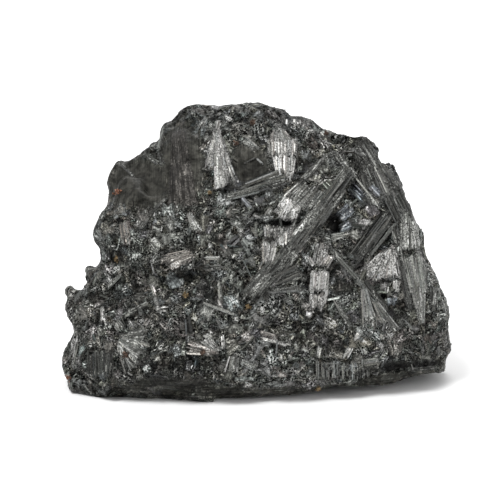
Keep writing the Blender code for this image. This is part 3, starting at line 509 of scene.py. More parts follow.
def in_ellipse(u, v, middle, half_sizes, degrees):
    """The squared distance from the middle, 1 on the ellipse's edge."""
    turn = math.radians(degrees)
    away_u = u - middle[0]
    away_v = v - middle[1]
    along = (away_u * math.cos(turn) + away_v * math.sin(turn)) / half_sizes[0]
    aside = (away_v * math.cos(turn) - away_u * math.sin(turn)) / half_sizes[1]
    return along ** 2 + aside ** 2


def shares(u, v, areas, steepness=1):
    """For each area, how far each place lies in it, 0 to 1, and the area's own value."""
    for middle, half_sizes, degrees, value in areas:
        yield np.exp(-in_ellipse(u, v, middle, half_sizes, degrees) ** steepness), value


def face_place(places):
    """Face coordinates of places, and whether they belong to the broad face."""
    away = places - FACE_ORIGIN
    return away @ ACROSS, away @ UP_FACE, away @ INTO_FACE < FACE_DEPTH


def points_of(mesh):
    """The places and the normals of a mesh's points."""
    places, normals = np.empty((2, len(mesh.vertices), 3))
    mesh.vertices.foreach_get("co", places.ravel())
    mesh.vertex_normals.foreach_get("vector", normals.ravel())
    return places, normals


def spaced(places, spacing, chance):
    """Indices of places spread about evenly."""
    order = chance.permutation(len(places))
    cells = np.floor(places[order] / spacing).astype(int)
    _, first = np.unique(cells, axis=0, return_index=True)
    return order[np.sort(first)]


def tree_of(places):
    """A search tree of places."""
    tree = KDTree(len(places))
    for index, place in enumerate(places.tolist()):
        tree.insert(place, index)
    tree.balance()
    return tree


def nearest(targets, places):
    """For each place, the index of the nearest target."""
    tree = tree_of(targets)
    return np.array([tree.find(place)[1] for place in places.tolist()])


def soft_noise(places, size):
    """Smooth noise in lumps of about this size."""
    return np.array([noise.noise(place) for place in (places / size).tolist()])


def hollow_depth(u, v):
    """How deep the hollows are at each place, and how much painted shade darkens them."""
    sway = soft_noise(np.column_stack([u, v, 0.0 * u]), HOLLOW_SWAY)
    depth = np.zeros(len(u))
    dark = np.zeros(len(u))
    for middle, half_sizes, degrees, deepest in HOLLOWS:
        shift = sway * HOLLOW_SHIFT * half_sizes[1]
        amount = np.exp(-in_ellipse(u + shift, v - shift, middle, half_sizes, degrees) ** 2)
        depth = np.maximum(depth, deepest * amount)
        # painted shade, darker the deeper the hollow
        dark = np.maximum(dark, amount * min(DARKEST_HOLLOW, HOLLOW_SHADE * deepest))
    return depth, dark


def skin_share(u, v):
    """How far each place lies in the smooth skins of the broad face, 0 to 1."""
    skins = [share for share, habit in shares(u, v, FACE_PARTS, 3) if habit == "skin"]
    return np.maximum.reduce(skins)


def shared_directions(places, normals, chance):
    """A direction along the surface at each place, near its neighbours' own."""
    masters = spaced(places, SWARM_SPACING, chance)
    shared = unit(chance.normal(size=(len(masters), 3)))[nearest(places[masters], places)]
    directions = unit(shared + SWARM_JITTER * chance.normal(size=places.shape))
    return unit(directions - (directions * normals).sum(axis=1, keepdims=True) * normals)


def choose_blades(places, middles, along, across, chance):
    """For each place, the blade whose long middle line is nearest, and how near a gap is."""
    tree = tree_of(middles)
    near = np.array([
        [found[1] for found in tree.find_n(place, BLADE_CHOICES)] for place in places.tolist()
    ])
    away = places[:, None, :] - middles[near]
    run = (away * along[near]).sum(axis=2) / BLADE_STRETCH
    aside = (away * across[near]).sum(axis=2)
    aside = aside + chance.normal(size=(len(places), 1)) * EDGE_JITTER
    away = np.sqrt(run ** 2 + aside ** 2)
    ranked = np.sort(away, axis=1)
    gap = np.clip(1.0 - (ranked[:, 1] - ranked[:, 0]) / GAP_WIDTH, 0.0, 1.0)
    return near[np.arange(len(places)), np.argmin(away, axis=1)], gap


def face_shade(places):
    """Lighter and darker areas of the broad face: partly ore tone, partly painted light and shade."""
    u, v, front = face_place(places)
    shade = sum(math.log(factor) * share for share, factor in shares(u, v, FACE_TONES_AND_PAINTED_SHADE))
    return np.exp(shade * front)


def patch_shade(places):
    """Broad patches of lighter and darker ore, times the broad face's areas of ore tone and painted
    light and shade.
    """
    return np.exp(PATCH_SHADE * soft_noise(places, PATCH_SIZE)) * face_shade(places)


def micro_tint(count, chance):
    """Faint warm and cool tints."""
    warmth = chance.normal(size=(count, 1)) * MICRO_TINT
    green = chance.normal(size=(count, 1)) * MICRO_TINT * 0.5
    return 1.0 + warmth * np.array([1.0, 0.0, -1.0]) + green * np.array([-0.5, 1.0, -0.5])


def gray_colours(places, tone, spread, brightest, chance):
    """Gray colours at places, spread about one tone and capped."""
    count = len(places)
    tones = tone * chance.lognormal(0.0, spread, count) * patch_shade(places)
    tones = np.minimum(tones, brightest)
    return tones[:, None] * TINTS["gray"] * micro_tint(count, chance)


def lay_blades(ground, chance):
    """Give each place of the ground the height, tone and fibres of its blade."""
    seeds = spaced(ground.places, BLADE_SPACING, chance)
    middles = ground.places[seeds]
    along = shared_directions(middles, ground.normals[seeds], chance)
    across = np.cross(ground.normals[seeds], along)
    own, gap = choose_blades(ground.places, middles, along, across, chance)
    count = len(seeds)
    gap = gap * chance.uniform(0.1, 1.0, count)[own]
    tilts = chance.normal(size=(count, 2)) * BLADE_TILT
    steps = chance.normal(size=count) * BLADE_STEP
    shades = chance.lognormal(-0.5 * BLADE_SHADE ** 2, BLADE_SHADE, count)
    away = ground.places - middles[own]
    run = (away * along[own]).sum(axis=1)
    aside = (away * across[own]).sum(axis=1)
    lie = run * tilts[own, 0] * TILT_ALONG + aside * tilts[own, 1] * TILT_ACROSS + steps[own]
    ground.height[:] = np.clip(lie, *BLADE_RELIEF) - GAP_DEPTH * gap
    shades = shades * patch_shade(middles)
    tints = GROUND * shades[:, None] * micro_tint(count, chance)
    # painted shade in the gaps between blades
    ground.colour[:] = tints[own] * (1.0 - GAP_SHADE * gap)[:, None]
    ground.fibres[:] = np.column_stack([run, aside, own * BLADE_APART])


def lay_skins(ground, smooth):
    """Even out the smooth skins, whose fibres are upright, but level in the foot."""
    u, v, _ = face_place(ground.places)
    skins = smooth > SKIN_EDGE
    upright = skins & (v > LEVEL_TOP)
    level = skins & (v <= LEVEL_TOP)
    ground.fibres[upright] = np.column_stack([v, u, 0.0 * u])[upright]
    ground.fibres[level] = np.column_stack([u, v, 0.0 * u])[level]
    ground.height[:] *= 1.0 - SKIN_CALM * smooth
    ground.rough[:] += SKIN_ROUGH * smooth
    # skin colour, times the broad face's ore tone and painted light and shade
    ground.colour[:] = blend(ground.colour, SKIN * face_shade(ground.places)[:, None], smooth)


def press_bundle(ground, near, row, number, chance):
    """Give the places near a bundle its height, tone and fibres, where they lie on it."""
    away = ground.places[near] - row["centre"]
    run = away @ row["grain"] / row["length"]
    aside = away @ np.cross(row["outward"], row["grain"])
    width = row["start_width"] + (row["end_width"] - row["start_width"]) * (run + 0.5)
    share = aside / np.maximum(width, 0.2)
    lath = np.floor((share + 0.5) * max(2.0, width.max() / PRESSED_PITCH)).astype(int) % PRESSED_LATHS
    first = row["early"] * chance.uniform(0.0, 1.0, PRESSED_LATHS)[lath] - 0.5
    last = 0.5 - row["late"] * chance.uniform(0.0, 1.6, PRESSED_LATHS)[lath]
    facing = ground.normals[near] @ row["outward"] > 0.1
    inside = facing & (np.abs(share) < 0.5) & (run > first) & (run < last)
    steps = chance.normal(size=PRESSED_LATHS)[lath] * row["uneven"]
    shades = chance.lognormal(0.0, PRESSED_SHADE, PRESSED_LATHS)[lath]
    height = (
        row["lift"] * (1.0 - row["crown"] * (2.0 * share) ** 2) + steps
        + run * row["length"] * row["tilt"][0] + aside * row["tilt"][1]
    )
    # painted shade along the rim, stronger the higher the bundle is lifted
    rim = np.clip(1.0 - (0.5 - np.abs(share)) * width / BUNDLE_RIM, 0.0, 1.0)
    shades = shades * (1.0 - RIM_SHADE * rim * min(1.0, 0.5 + 1.6 * row["lift"]))
    fibres = np.column_stack([
        run * row["length"], share * width.mean(), np.full(len(run), number * BUNDLE_APART),
    ])
    mine = near[inside]
    ground.height[mine] = np.clip(height, *PRESSED_RELIEF)[inside]
    ground.colour[mine] = row["colour"] * CRYSTAL_TONE * shades[inside][:, None]
    ground.rough[mine] = row["rough"]
    ground.broken[mine] = min(row["crumbly"], 0.2 + 2.0 * row["lift"])
    ground.covered[mine] = True
    ground.fibres[mine] = fibres[inside]


def press_bundles(ground, rows, chance):
    """Press all bundles into the ground they lie on, one after the other."""
    tree = tree_of(ground.places)
    for number, row in enumerate(rows):
        width = max(row["start_width"], row["end_width"])
        reach = math.hypot(0.5 * row["length"], 0.5 * width) + 1.5
        near = np.array([found[1] for found in tree.find_range(row["centre"].tolist(), reach)])
        if len(near):
            press_bundle(ground, near, row, number, chance)


def relaxed(places, pairs, weight, rounds):
    """Places drawn towards their neighbours, each by its weight."""
    counts = np.bincount(pairs.ravel(), minlength=len(places))[:, None]
    for _ in range(rounds):
        total = np.zeros(places.shape)
        np.add.at(total, pairs[:, 0], places[pairs[:, 1]])
        np.add.at(total, pairs[:, 1], places[pairs[:, 0]])
        places = places + weight[:, None] * (total / counts - places)
    return places


def remeshed(mesh):
    """The mesh with small even faces."""
    holder = bpy.data.objects.new("holder", mesh)
    bpy.context.scene.collection.objects.link(holder)
    modifier = holder.modifiers.new("remesh", "REMESH")
    modifier.mode = "VOXEL"
    modifier.voxel_size = GROUND_SPACING
    evaluated = holder.evaluated_get(bpy.context.evaluated_depsgraph_get())
    result = bpy.data.meshes.new_from_object(evaluated)
    bpy.data.objects.remove(holder, do_unlink=True)
    return result


def base_mesh():
    """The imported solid's surface in millimetres, evenly remeshed, with its skins evened out."""
    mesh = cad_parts[NODE].data.copy()
    mesh.transform(Matrix.Scale(1.0 / MM, 4))
    mesh = remeshed(mesh)
    places, _ = points_of(mesh)
    u, v, front = face_place(places)
    smooth = skin_share(u, v) * front * np.clip(places[:, 2] / SKIN_BOTTOM - 1.0, 0.0, 1.0)
    pairs = np.empty(len(mesh.edges) * 2, np.int32)
    mesh.edges.foreach_get("vertices", pairs)
    places = relaxed(places, pairs.reshape(-1, 2), SKIN_PULL * smooth, SKIN_ROUNDS)
    mesh.vertices.foreach_set("co", places.ravel())
    mesh.update()
    return mesh


def outline_share(places):
    """How near each place is to the outline of the stone, seen straight at its broad face."""
    u, v, _ = face_place(places)
    away_u = u - OUTLINE_CENTRE[0]
    away_v = v - OUTLINE_CENTRE[1]
    sector = (np.degrees(np.arctan2(away_v, away_u)) % 360.0).astype(int)
    radius = np.hypot(away_u, away_v)
    reach = np.zeros(360)
    np.maximum.at(reach, sector, radius)
    return np.clip(1.0 - (reach[sector] - radius) / OUTLINE_WIDTH, 0.0, 1.0)


def notch_depth(u, v):
    """How far the outline is cut back or swollen at each place."""
    areas = [(middle, (radius, radius), 0, depth) for middle, radius, depth in NOTCHES]
    return sum(depth * share for share, depth in shares(u, v, areas, 2))


def foot_rise(places):
    """How far each place of the foot is lifted, fading away under the stone."""
    u, v, _ = face_place(places)
    rise = np.maximum.reduce([height * share for share, height in shares(u, v, FOOT_RISES)])
    inward = (places - FACE_ORIGIN) @ INTO_FACE
    full, end = RISE_FADE
    return rise * np.clip((end - inward) / (end - full), 0.0, 1.0)


def move_ground(mesh, ground, hollows, chance):
    """Move the mesh by the ground's relief, its hollows and notches, and the risen foot."""
    places = ground.places
    u, v, _ = face_place(places)
    height = ground.height + soft_noise(places, SWELL_SIZE) * SWELL_HEIGHT - GROUND_SUNK
    height = height + chance.normal(size=len(places)) * GRAIN_HEIGHT * ground.broken
    height = height * (1.0 - OUTLINE_CALM * outline_share(places)) - notch_depth(u, v)
    above_floor = np.clip(places[:, 2] / FLOOR_FADE, 0.0, 1.0)
    moved = places + ground.normals * (height * above_floor)[:, None]
    moved = moved + INTO_FACE * (hollows * above_floor)[:, None]
    moved[:, 2] += foot_rise(places)
    mesh.vertices.foreach_set("co", moved.ravel())
    mesh.update()


def shape_ground(mesh, rows, chance):
    """Break up the mesh, and find its colour, roughness and fibres."""
    places, normals = points_of(mesh)
    count = len(places)
    u, v, front = face_place(places)
    depth, dark = hollow_depth(u, v)
    smooth = np.where(v < FOOT_TOP, FOOT_SKIN, 1.0) * skin_share(u, v)
    smooth = np.maximum(smooth, 0.8 * dark) * front
    ground = Ground(
        places, normals, height=np.zeros(count), colour=np.zeros((count, 3)),
        rough=np.full(count, 0.40), fibres=np.zeros((count, 3)), broken=1.0 - smooth,
        covered=np.zeros(count, bool),
    )
    lay_blades(ground, chance)
    lay_skins(ground, smooth)
    press_bundles(ground, rows, chance)
    # painted shade: the hollows darken towards nearly black
    ground.colour[:] = blend(ground.colour, PIT, dark * front)
    move_ground(mesh, ground, depth * front, chance)
    return ground


def surface_of(mesh):
    """A mesh as a surface to look for points on."""
    places, _ = points_of(mesh)
    return BVHTree.FromPolygons(places.tolist(), [list(face.vertices) for face in mesh.polygons])


def project(surface, guesses, outward, reach=6.0):
    """The surface's points under the guesses, looking in along each outward direction."""
    flat = guesses.reshape(-1, 3)
    lines = np.broadcast_to(outward, guesses.shape).reshape(-1, 3)
    starts = flat + lines * reach
    found = []
    for guess, start, line in zip(flat.tolist(), starts.tolist(), (-lines).tolist()):
        hit = surface.ray_cast(start, line, 2.0 * reach)[0]
        found.append(hit or surface.find_nearest(guess)[0])
    return np.array(found).reshape(guesses.shape)


def face_point(surface, u, v):
    """Where the broad face is, as seen straight on, at (u, v)."""
    return project(surface, on_face_plane(u, v), -INTO_FACE, FACE_REACH)


def straightened(points, stations, outward):
    """Spines straight from end to end, raised where they would sink into a bump."""
    first = points[:, :1]
    last = points[:, -1:]
    straight = first + (last - first) * stations[None, :, None]
    above = ((points - straight) * outward[:, None, :]).sum(axis=2)
    rise = LATH_RISE * np.maximum(above.max(axis=1), 0.0)
    straight = straight + (rise[:, None] * outward)[:, None, :]
    return LATH_STRAIGHT * straight + (1.0 - LATH_STRAIGHT) * points


def lath_spines(bundles, stations, surface, chance):
    """For each lath its bundle's row, its spine on the surface, and its height over it."""
    mean_width = 0.5 * (bundles["start_width"] + bundles["end_width"])
    counts = np.maximum(1, np.round(mean_width / bundles["pitch"])).astype(int)
    owner = np.repeat(np.arange(len(bundles)), counts)
    order = np.arange(len(owner)) - np.repeat(np.cumsum(counts) - counts, counts)
    own = bundles[owner]
    total = len(owner)
    place = (order + 0.5 + chance.uniform(-0.25, 0.25, total)) / counts[owner] - 0.5
    first = chance.uniform(0.0, 1.0, total) * own["early"] - 0.5
    last = 0.5 - np.minimum(np.abs(chance.normal(size=total)), 2.0) * own["late"]
    along = first[:, None] + (last - first)[:, None] * stations
    run = along * own["length"][:, None]
    widening = (own["end_width"] - own["start_width"])[:, None] * (along + 0.5)
    aside = place[:, None] * (own["start_width"][:, None] + widening)
    across = np.cross(own["outward"], own["grain"])
    guesses = (
        own["centre"][:, None, :] + run[..., None] * own["grain"][:, None, :]
        + aside[..., None] * across[:, None, :]
    )
    points = project(surface, guesses, own["outward"][:, None, :])
    crown = 1.0 - own["crown"] * (2.0 * place) ** 2
    ledges = chance.normal(size=total) * own["uneven"]
    height = (
        (own["lift"] * crown + ledges)[:, None] + run * own["tilt"][:, :1]
        + aside * own["tilt"][:, 1:]
    )
    return own, straightened(points, stations, own["outward"]), np.clip(height, *LATH_RELIEF)


def farthest(points, surface):
    """How far each row of points goes from the surface."""
    away = [surface.find_nearest(point)[3] for point in points.reshape(-1, 3).tolist()]
    return np.array(away).reshape(points.shape[:2]).max(axis=1)


def clinging(spines, surface):
    """Which spines keep close to the surface all along."""
    middles = 0.5 * (spines[:, :-1] + spines[:, 1:])
    return (farthest(spines, surface) < CLINGING) & (farthest(middles, surface) < BRIDGING)


def lath_tints(own, chance):
    """The colour and roughness of each lath."""
    total = len(own)
    shade = chance.lognormal(0.0, LATH_SHADE, total)
    colour = np.clip(own["colour"] * CRYSTAL_TONE * shade[:, None], 0.004, 0.92)
    colour = colour * (0.5 + 0.5 * micro_tint(total, chance))
    rough = np.clip(own["rough"] + chance.normal(size=total) * 0.03, 0.18, 0.75)
    return np.column_stack([colour, rough])


def laths_of(bundles, stations, surface, chance):
    """Corner points of closed laths, (laths, stations, 4, 3), with tints and widths."""
    own, spines, height = lath_spines(bundles, stations, surface, chance)
    kept = clinging(spines, surface)
    own, spines, height = own[kept], spines[kept], height[kept]
    total = len(own)
    taper = np.zeros(height.shape)
    taper[:, 0] = own["taper"][:, 0] * chance.uniform(0.3, 1.0, total)
    taper[:, -1] = own["taper"][:, 1] * chance.uniform(0.3, 1.0, total)
    height = height * (1.0 - 0.8 * taper)
    outward = own["outward"]
    across = np.cross(outward, own["grain"])
    facing = unit(outward - own["tilt"][:, :1] * own["grain"] - own["tilt"][:, 1:] * across)
    spines = spines + height[..., None] * outward[:, None, :]
    along = unit(spines[:, -1] - spines[:, 0])
    sides = unit(np.cross(facing, along))
    up = np.cross(along, sides)[:, None, :]
    widths = own["pitch"] * chance.uniform(0.45, 1.0, total)
    half = (widths[:, None] * (1.0 - LATH_NARROWING * taper))[..., None] * 0.5 * sides[:, None, :]
    tops = (LATH_TOP - LATH_DROP * taper)[..., None] * up
    lean = (chance.normal(size=total) * own["roll"] * widths)[:, None, None] * up
    foot = (np.maximum(height, 0.0) + LATH_ROOT)[..., None] * up
    corners = np.stack([
        spines - half - foot, spines + half - foot,
        spines + half + tops + lean, spines - half + tops - lean,
    ], axis=2)
    corners[..., 2] = np.maximum(corners[..., 2], LOWEST_CORNER)
    return corners, lath_tints(own, chance), widths


def bundle_rows(count, **fields):
    """Rows of bundles with some fields filled in, and the others zero."""
    rows = np.zeros(count, BUNDLE)
    for field, values in fields.items():
        rows[field] = values
    return rows


def face_bundle_rows(bundle, surface, chance):
    """One named bundle as rows of bundles, several where it is long."""
    start = np.array(bundle.start)
    run = np.array(bundle.end) - start
    length = np.linalg.norm(run)
    links = max(1, round(length / LINK_LENGTH))
    rows = bundle_rows(
        links, outward=-INTO_FACE, grain=(run[0] * ACROSS + run[1] * UP_FACE) / length,
        pitch=NAMED_PITCH, lift=bundle.lift * 0.5, crown=0.3,
        tilt=chance.normal(size=(links, 2)) * 0.03, colour=bundle.tone * TINTS[bundle.tint],
        rough=0.44, early=0.16, late=0.09, roll=0.15, uneven=0.07, crumbly=0.6,
    )
    rows["late"][-1] = bundle.ragged * 0.6
    rows["taper"][0, 0] = 0.6
    rows["taper"][-1, 1] = 0.8
    edges = np.linspace(0.0, 1.0, links + 1)
    overlap = 0.16 / links if links > 1 else 0.0
    start_width, end_width = bundle.widths
    for row, low, high in zip(rows, edges[:-1], edges[1:]):
        low = max(0.0, low - overlap)
        high = min(1.0, high + overlap)
        row["centre"] = face_point(surface, *(start + run * 0.5 * (low + high)))
        row["length"] = length * (high - low)
        row["start_width"] = start_width + (end_width - start_width) * low
        row["end_width"] = start_width + (end_width - start_width) * high
    return rows


def comb_teeth():
    """The comb of short upright crystals."""
    first, last, gap = COMB
    made = []
    for tooth in range(int((last - first) / gap) + 1):
        u = first + tooth * gap
        top = COMB_TOP - 0.5 * (tooth % 3) - 0.06 * tooth
        foot = COMB_FOOT + 0.4 * (tooth % 2)
        tone = COMB_TONES[tooth % len(COMB_TONES)]
        made.append(Bundle((u, top), (u + 0.25, foot), (1.05, 0.95), tone, 0.8, 0.2))
    return made


def curled_fibres():
    """Short fibres in rings."""
    made = []
    for ring, radius in enumerate(SWIRL_RADII):
        pieces = 7 + 4 * ring
        for piece in range(pieces):
            turn = 2.0 * math.pi * piece / pieces
            middle = (SWIRL[0] + 1.3 * radius * math.cos(turn), SWIRL[1] + radius * math.sin(turn))
            step = (-0.8 * math.sin(turn), 0.6 * math.cos(turn))
            start = (middle[0] - step[0], middle[1] - step[1])
            end = (middle[0] + step[0], middle[1] + step[1])
            tone = SWIRL_TONES[piece % len(SWIRL_TONES)]
            made.append(Bundle(start, end, (0.5, 0.5), tone, 0.9, 0.1))
    return made


def side_bundle(place, outward, surface, chance):
    """One large bundle round a place, as rows of bundles that follow the surface."""
    grain = unit(np.cross(outward, chance.normal(size=3)))
    length = chance.uniform(*SIDE_BUNDLE_LENGTH) * chance.uniform(0.6, 1.0)
    width = length * chance.uniform(*SIDE_BUNDLE_ASPECT)
    fan = chance.choice(SIDE_FANS)
    tone = chance.choice(SIDE_TONES, p=SIDE_TONE_SHARES)
    lift = chance.uniform(*SIDE_LIFT)
    links = max(1, round(length / LINK_LENGTH))
    step = length / links
    rows = bundle_rows(
        links, tilt=chance.normal(size=(links, 2)) * 0.05, length=step * 1.25,
        pitch=NAMED_PITCH, lift=lift, crown=0.3, colour=tone * TINTS["gray"],
        rough=chance.uniform(*SIDE_ROUGH), early=0.18, late=0.16, roll=0.15, uneven=0.08,
        crumbly=0.7,
    )
    middle = place - grain * 0.5 * (length - step)
    for number, row in enumerate(rows):
        nearby, facing, _, _ = surface.find_nearest(middle.tolist())
        outward = unit(outward + np.array(facing))
        grain = unit(grain - (grain @ outward) * outward)
        if outward @ INTO_FACE < 0.05:
            rows = rows[:number]
            break
        row["centre"] = nearby
        row["outward"] = outward
        row["grain"] = grain
        row["start_width"] = width * (fan + (1.0 - fan) * number / links)
        row["end_width"] = width * (fan + (1.0 - fan) * (number + 1) / links)
        middle = np.array(nearby) + grain * step
    rows["taper"][:1, 0] = 0.7
    rows["taper"][-1:, 1] = 0.9
    return rows


def side_rows(mesh, surface, chance):
    """Large bundles on the sides, the back and the top."""
    places, normals = points_of(mesh)
    _, _, front = face_place(places)
    outside = np.flatnonzero((normals @ INTO_FACE > 0.12) & (places[:, 2] > 3.0) & ~front)
    seeds = outside[spaced(places[outside], SIDE_BUNDLE_SPACING, chance)]
    made = [side_bundle(places[seed], normals[seed], surface, chance) for seed in seeds]
    return np.concatenate(made)


def flake_rows(mesh, chance):
    """Middle-sized flakes everywhere but on the skins, as rows of bundles."""
    places, normals = points_of(mesh)
    u, v, front = face_place(places)
    seeds = np.flatnonzero((skin_share(u, v) * front < 0.2) & (places[:, 2] > 2.0))
    seeds = seeds[spaced(places[seeds], FLAKE_SPACING, chance)]
    count = len(seeds)
    rows = bundle_rows(
        count, centre=places[seeds], outward=normals[seeds],
        grain=shared_directions(places[seeds], normals[seeds], chance),
        length=chance.uniform(*FLAKE_LENGTH, count),
        start_width=chance.uniform(*FLAKE_START, count),
        end_width=chance.uniform(*FLAKE_END, count),
        lift=chance.uniform(*FLAKE_LIFT, count), crown=0.3,
        tilt=chance.normal(size=(count, 2)) * FLAKE_TILT,
        colour=gray_colours(places[seeds], FLAKE_TONE, FLAKE_SPREAD, BRIGHTEST_FLAKE, chance),
        rough=0.42, early=0.2, late=0.35, uneven=0.07, crumbly=1.0,
    )
    rows["start_width"] *= rows["length"]
    rows["end_width"] *= rows["length"]
    return rows


def habits_at(places, normals, chance):
    """The name of the habit at each place."""
    parts = spaced(places, PART_SPACING, chance)
    names, weights = zip(*SIDE_HABITS)
    chosen = chance.choice(names, size=len(parts), p=weights)
    habits = chosen[nearest(places[parts], places)]
    u, v, front = face_place(places)
    front = front & (normals @ INTO_FACE < -0.2)
    habits[front] = "granular"
    for middle, half_sizes, degrees, habit in FACE_PARTS:
        inside = in_ellipse(u, v, middle, half_sizes, degrees) < 1.0
        habits[inside & front] = habit
    # the lowest crystals, under 1.2 mm, take the skins' dark tone: darker at the very bottom
    habits[places[:, 2] < 1.2] = "skin"
    return habits


def seed_places(mesh, covered, chance):
    """Where the small crystals grow: their places, normals and habits."""
    places, normals = points_of(mesh)
    seeds = spaced(places, SEED_SPACING, chance)
    inner = outline_share(places)[seeds] < 0.3
    seeds = seeds[(places[seeds, 2] > 0.7) & ~covered[seeds] & inner]
    places = places[seeds]
    normals = normals[seeds]
    habits = habits_at(places, normals, chance)
    u, v, front = face_place(places)
    _, dark = hollow_depth(u, v)
    keep = np.array([HABITS[name].keep for name in habits.tolist()]) * (1.0 - dark * front)
    kept = chance.uniform(size=len(places)) < keep
    return places[kept], normals[kept], habits[kept]


def seeded_rows(mesh, covered, chance):
    """Small bundles everywhere, each lying as the habit of its part has it."""
    places, normals, habits = seed_places(mesh, covered, chance)
    rows = bundle_rows(
        len(places), centre=places, outward=normals,
        grain=shared_directions(places, normals, chance), crown=0.1, early=0.25, late=0.18,
        roll=0.20, uneven=0.10, taper=chance.uniform(0.2, 1.0, (len(places), 2)),
    )
    for name, habit in HABITS.items():
        mine = np.flatnonzero(habits == name)
        count = len(mine)
        length = chance.uniform(*habit.length, count)
        width = length * chance.uniform(*habit.aspect, count)
        rows["length"][mine] = length
        rows["start_width"][mine] = width
        rows["end_width"][mine] = width * chance.uniform(0.6, 1.4, count)
        rows["pitch"][mine] = chance.uniform(*LATH_PITCH, count)
        rows["lift"][mine] = chance.uniform(*habit.lift, count)
        rows["tilt"][mine] = chance.normal(size=(count, 2)) * math.tan(math.radians(habit.tilt))
        rows["colour"][mine] = gray_colours(
            places[mine], habit.tone, habit.spread, BRIGHTEST_SEED, chance,
        )
        rows["rough"][mine] = chance.uniform(*habit.rough, count)
    return rows


def lath_quads(count, stations):
    """Quads of closed laths: four sides between stations, and two ends."""
    corner = np.arange(4)
    after = (corner + 1) % 4
    sides = np.column_stack([corner, after, after + 4, corner + 4])
    quads = [sides + 4 * station for station in range(stations - 1)]
    ends = np.array([corner[::-1], corner + 4 * (stations - 1)])
    starts = np.arange(count)[:, None, None] * stations * 4
    return (np.concatenate(quads + [ends]) + starts).reshape(-1, 4)


def add_lath_maps(mesh, corners, widths):
    """Fibre coordinates in millimetres, and a tidy chart for each lath."""
    count, stations = corners.shape[:2]
    quads = (stations - 1) * 4 + 2
    steps = np.linalg.norm(np.diff(corners[:, :, 0], axis=1), axis=2)
    reach = np.cumsum(np.column_stack([np.zeros(count), steps]), axis=1)
    total = np.maximum(reach[:, -1:], 1e-6)
    fibre = np.zeros((count, quads, 4, 2))
    chart = np.zeros((count, quads, 4, 2))
    columns = math.ceil(math.sqrt(count))
    cell = 1.0 / columns
    index = np.arange(count)
    base = np.stack([index % columns, index // columns], axis=1) * cell
    for station in range(stations - 1):
        along = reach[:, [station, station, station + 1, station + 1]]
        for corner in range(4):
            face = station * 4 + corner
            aside = np.array([corner, corner + 1, corner + 1, corner]) * 1.0
            fibre[:, face, :, 0] = along + index[:, None] * LATH_APART[0]
            fibre[:, face, :, 1] = aside * widths[:, None] + index[:, None] * LATH_APART[1]
            chart[:, face, :, 0] = base[:, :1] + cell * (CELL_EDGE + CELL_LENGTH * along / total)
            chart[:, face, :, 1] = base[:, 1:] + cell * (CELL_EDGE + CELL_SIDE * aside)
    left, right = CELL_ENDS
    for end, low in ((quads - 2, CELL_EDGE), (quads - 1, 0.50)):
        high = low + CELL_END_WIDTH
        square = np.array([[left, low], [right, low], [right, high], [left, high]])
        chart[:, end] = base[:, None, :] + cell * square
        fibre[:, end] = square
    for name, values in ((FIBRE_MAP, fibre), (BAKE_MAP, chart)):
        mesh.uv_layers.new(name=name).data.foreach_set("uv", values.ravel())


def tinted_mesh(name, points, faces, tints):
    """A mesh from points in millimetres, with a colour and roughness for each point."""
    mesh = bpy.data.meshes.new(name)
    mesh.from_pydata((points * MM).tolist(), [], faces.tolist())
    layer = mesh.color_attributes.new(TINT, "FLOAT_COLOR", "POINT")
    layer.data.foreach_set("color", tints.ravel())
    return mesh


def add_piece(name, mesh, material):
    """One piece of the stone's looks, in the scene."""
    mesh.materials.append(material)
    piece = bpy.data.objects.new(name, mesh)
    bpy.context.scene.collection.objects.link(piece)
    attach(piece, BODY)
    return piece


def box_chart(places, normals, quads):
    """A chart of quads: a box for each of the six sides that they can face, to one scale."""
    facing = normals[quads].sum(axis=1)
    axis = np.abs(facing).argmax(axis=1)
    away = np.take_along_axis(facing, axis[:, None], axis=1)[:, 0] < 0.0
    kept = np.array([(1, 2), (0, 2), (0, 1)])[axis]
    corners = places[quads] - places.min(axis=0)
    flat = np.take_along_axis(corners, kept[:, None, :], axis=2)
    long, *short = np.ptp(places, axis=0) + CHART_GAP
    boxes = np.column_stack([away * long, axis * max(short)])
    return (flat + boxes[:, None, :]) / max(2.0 * long, 3.0 * max(short))


def add_ground(mesh, ground, material):
    """The ground, in a front and a back piece whose normals agree where they meet."""
    places, normals = points_of(mesh)
    tints = np.column_stack([ground.colour, ground.rough])
    quads = np.empty(len(mesh.loops), np.int32)
    mesh.loops.foreach_get("vertex_index", quads)
    quads = quads.reshape(-1, 4)
    depth = places[quads].mean(axis=1) @ INTO_FACE
    front = depth < np.median(depth)
    for name, chosen in (("ground_front", front), ("ground_back", ~front)):
        used, corners = np.unique(quads[chosen], return_inverse=True)
        part = tinted_mesh(name, places[used], corners.reshape(-1, 4), tints[used])
        layer = part.attributes.new(BROKEN, "FLOAT", "POINT")
        layer.data.foreach_set("value", ground.broken[used])
        layer = part.attributes.new(FIBRES, "FLOAT_VECTOR", "POINT")
        layer.data.foreach_set("vector", ground.fibres[used].ravel())
        chart = box_chart(places, ground.normals, quads[chosen])
        part.uv_layers.new(name=BAKE_MAP).data.foreach_set("uv", chart.ravel())
        part.shade_smooth()
        part.normals_split_custom_set_from_vertices(normals[used].tolist())
        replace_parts(add_piece(name, part, material), NODE)


def add_laths(name, laths, material):
    """Pieces of closed laths, none with too many triangles."""
    corners, tints, widths = laths
    stations = corners.shape[1]
    middles = corners.mean(axis=(1, 2))
    order = np.argsort(np.arctan2(middles[:, 1], middles[:, 0]), kind="stable")
    parts = math.ceil(len(order) / LATHS_PER_PIECE[stations])
    for number, chosen in enumerate(np.array_split(order, parts)):
        mesh = tinted_mesh(
            name, corners[chosen].reshape(-1, 3), lath_quads(len(chosen), stations),
            np.repeat(tints[chosen], stations * 4, axis=0),
        )
        add_lath_maps(mesh, corners[chosen], widths[chosen])
        add_piece(f"{name}_{number + 1}", mesh, material)


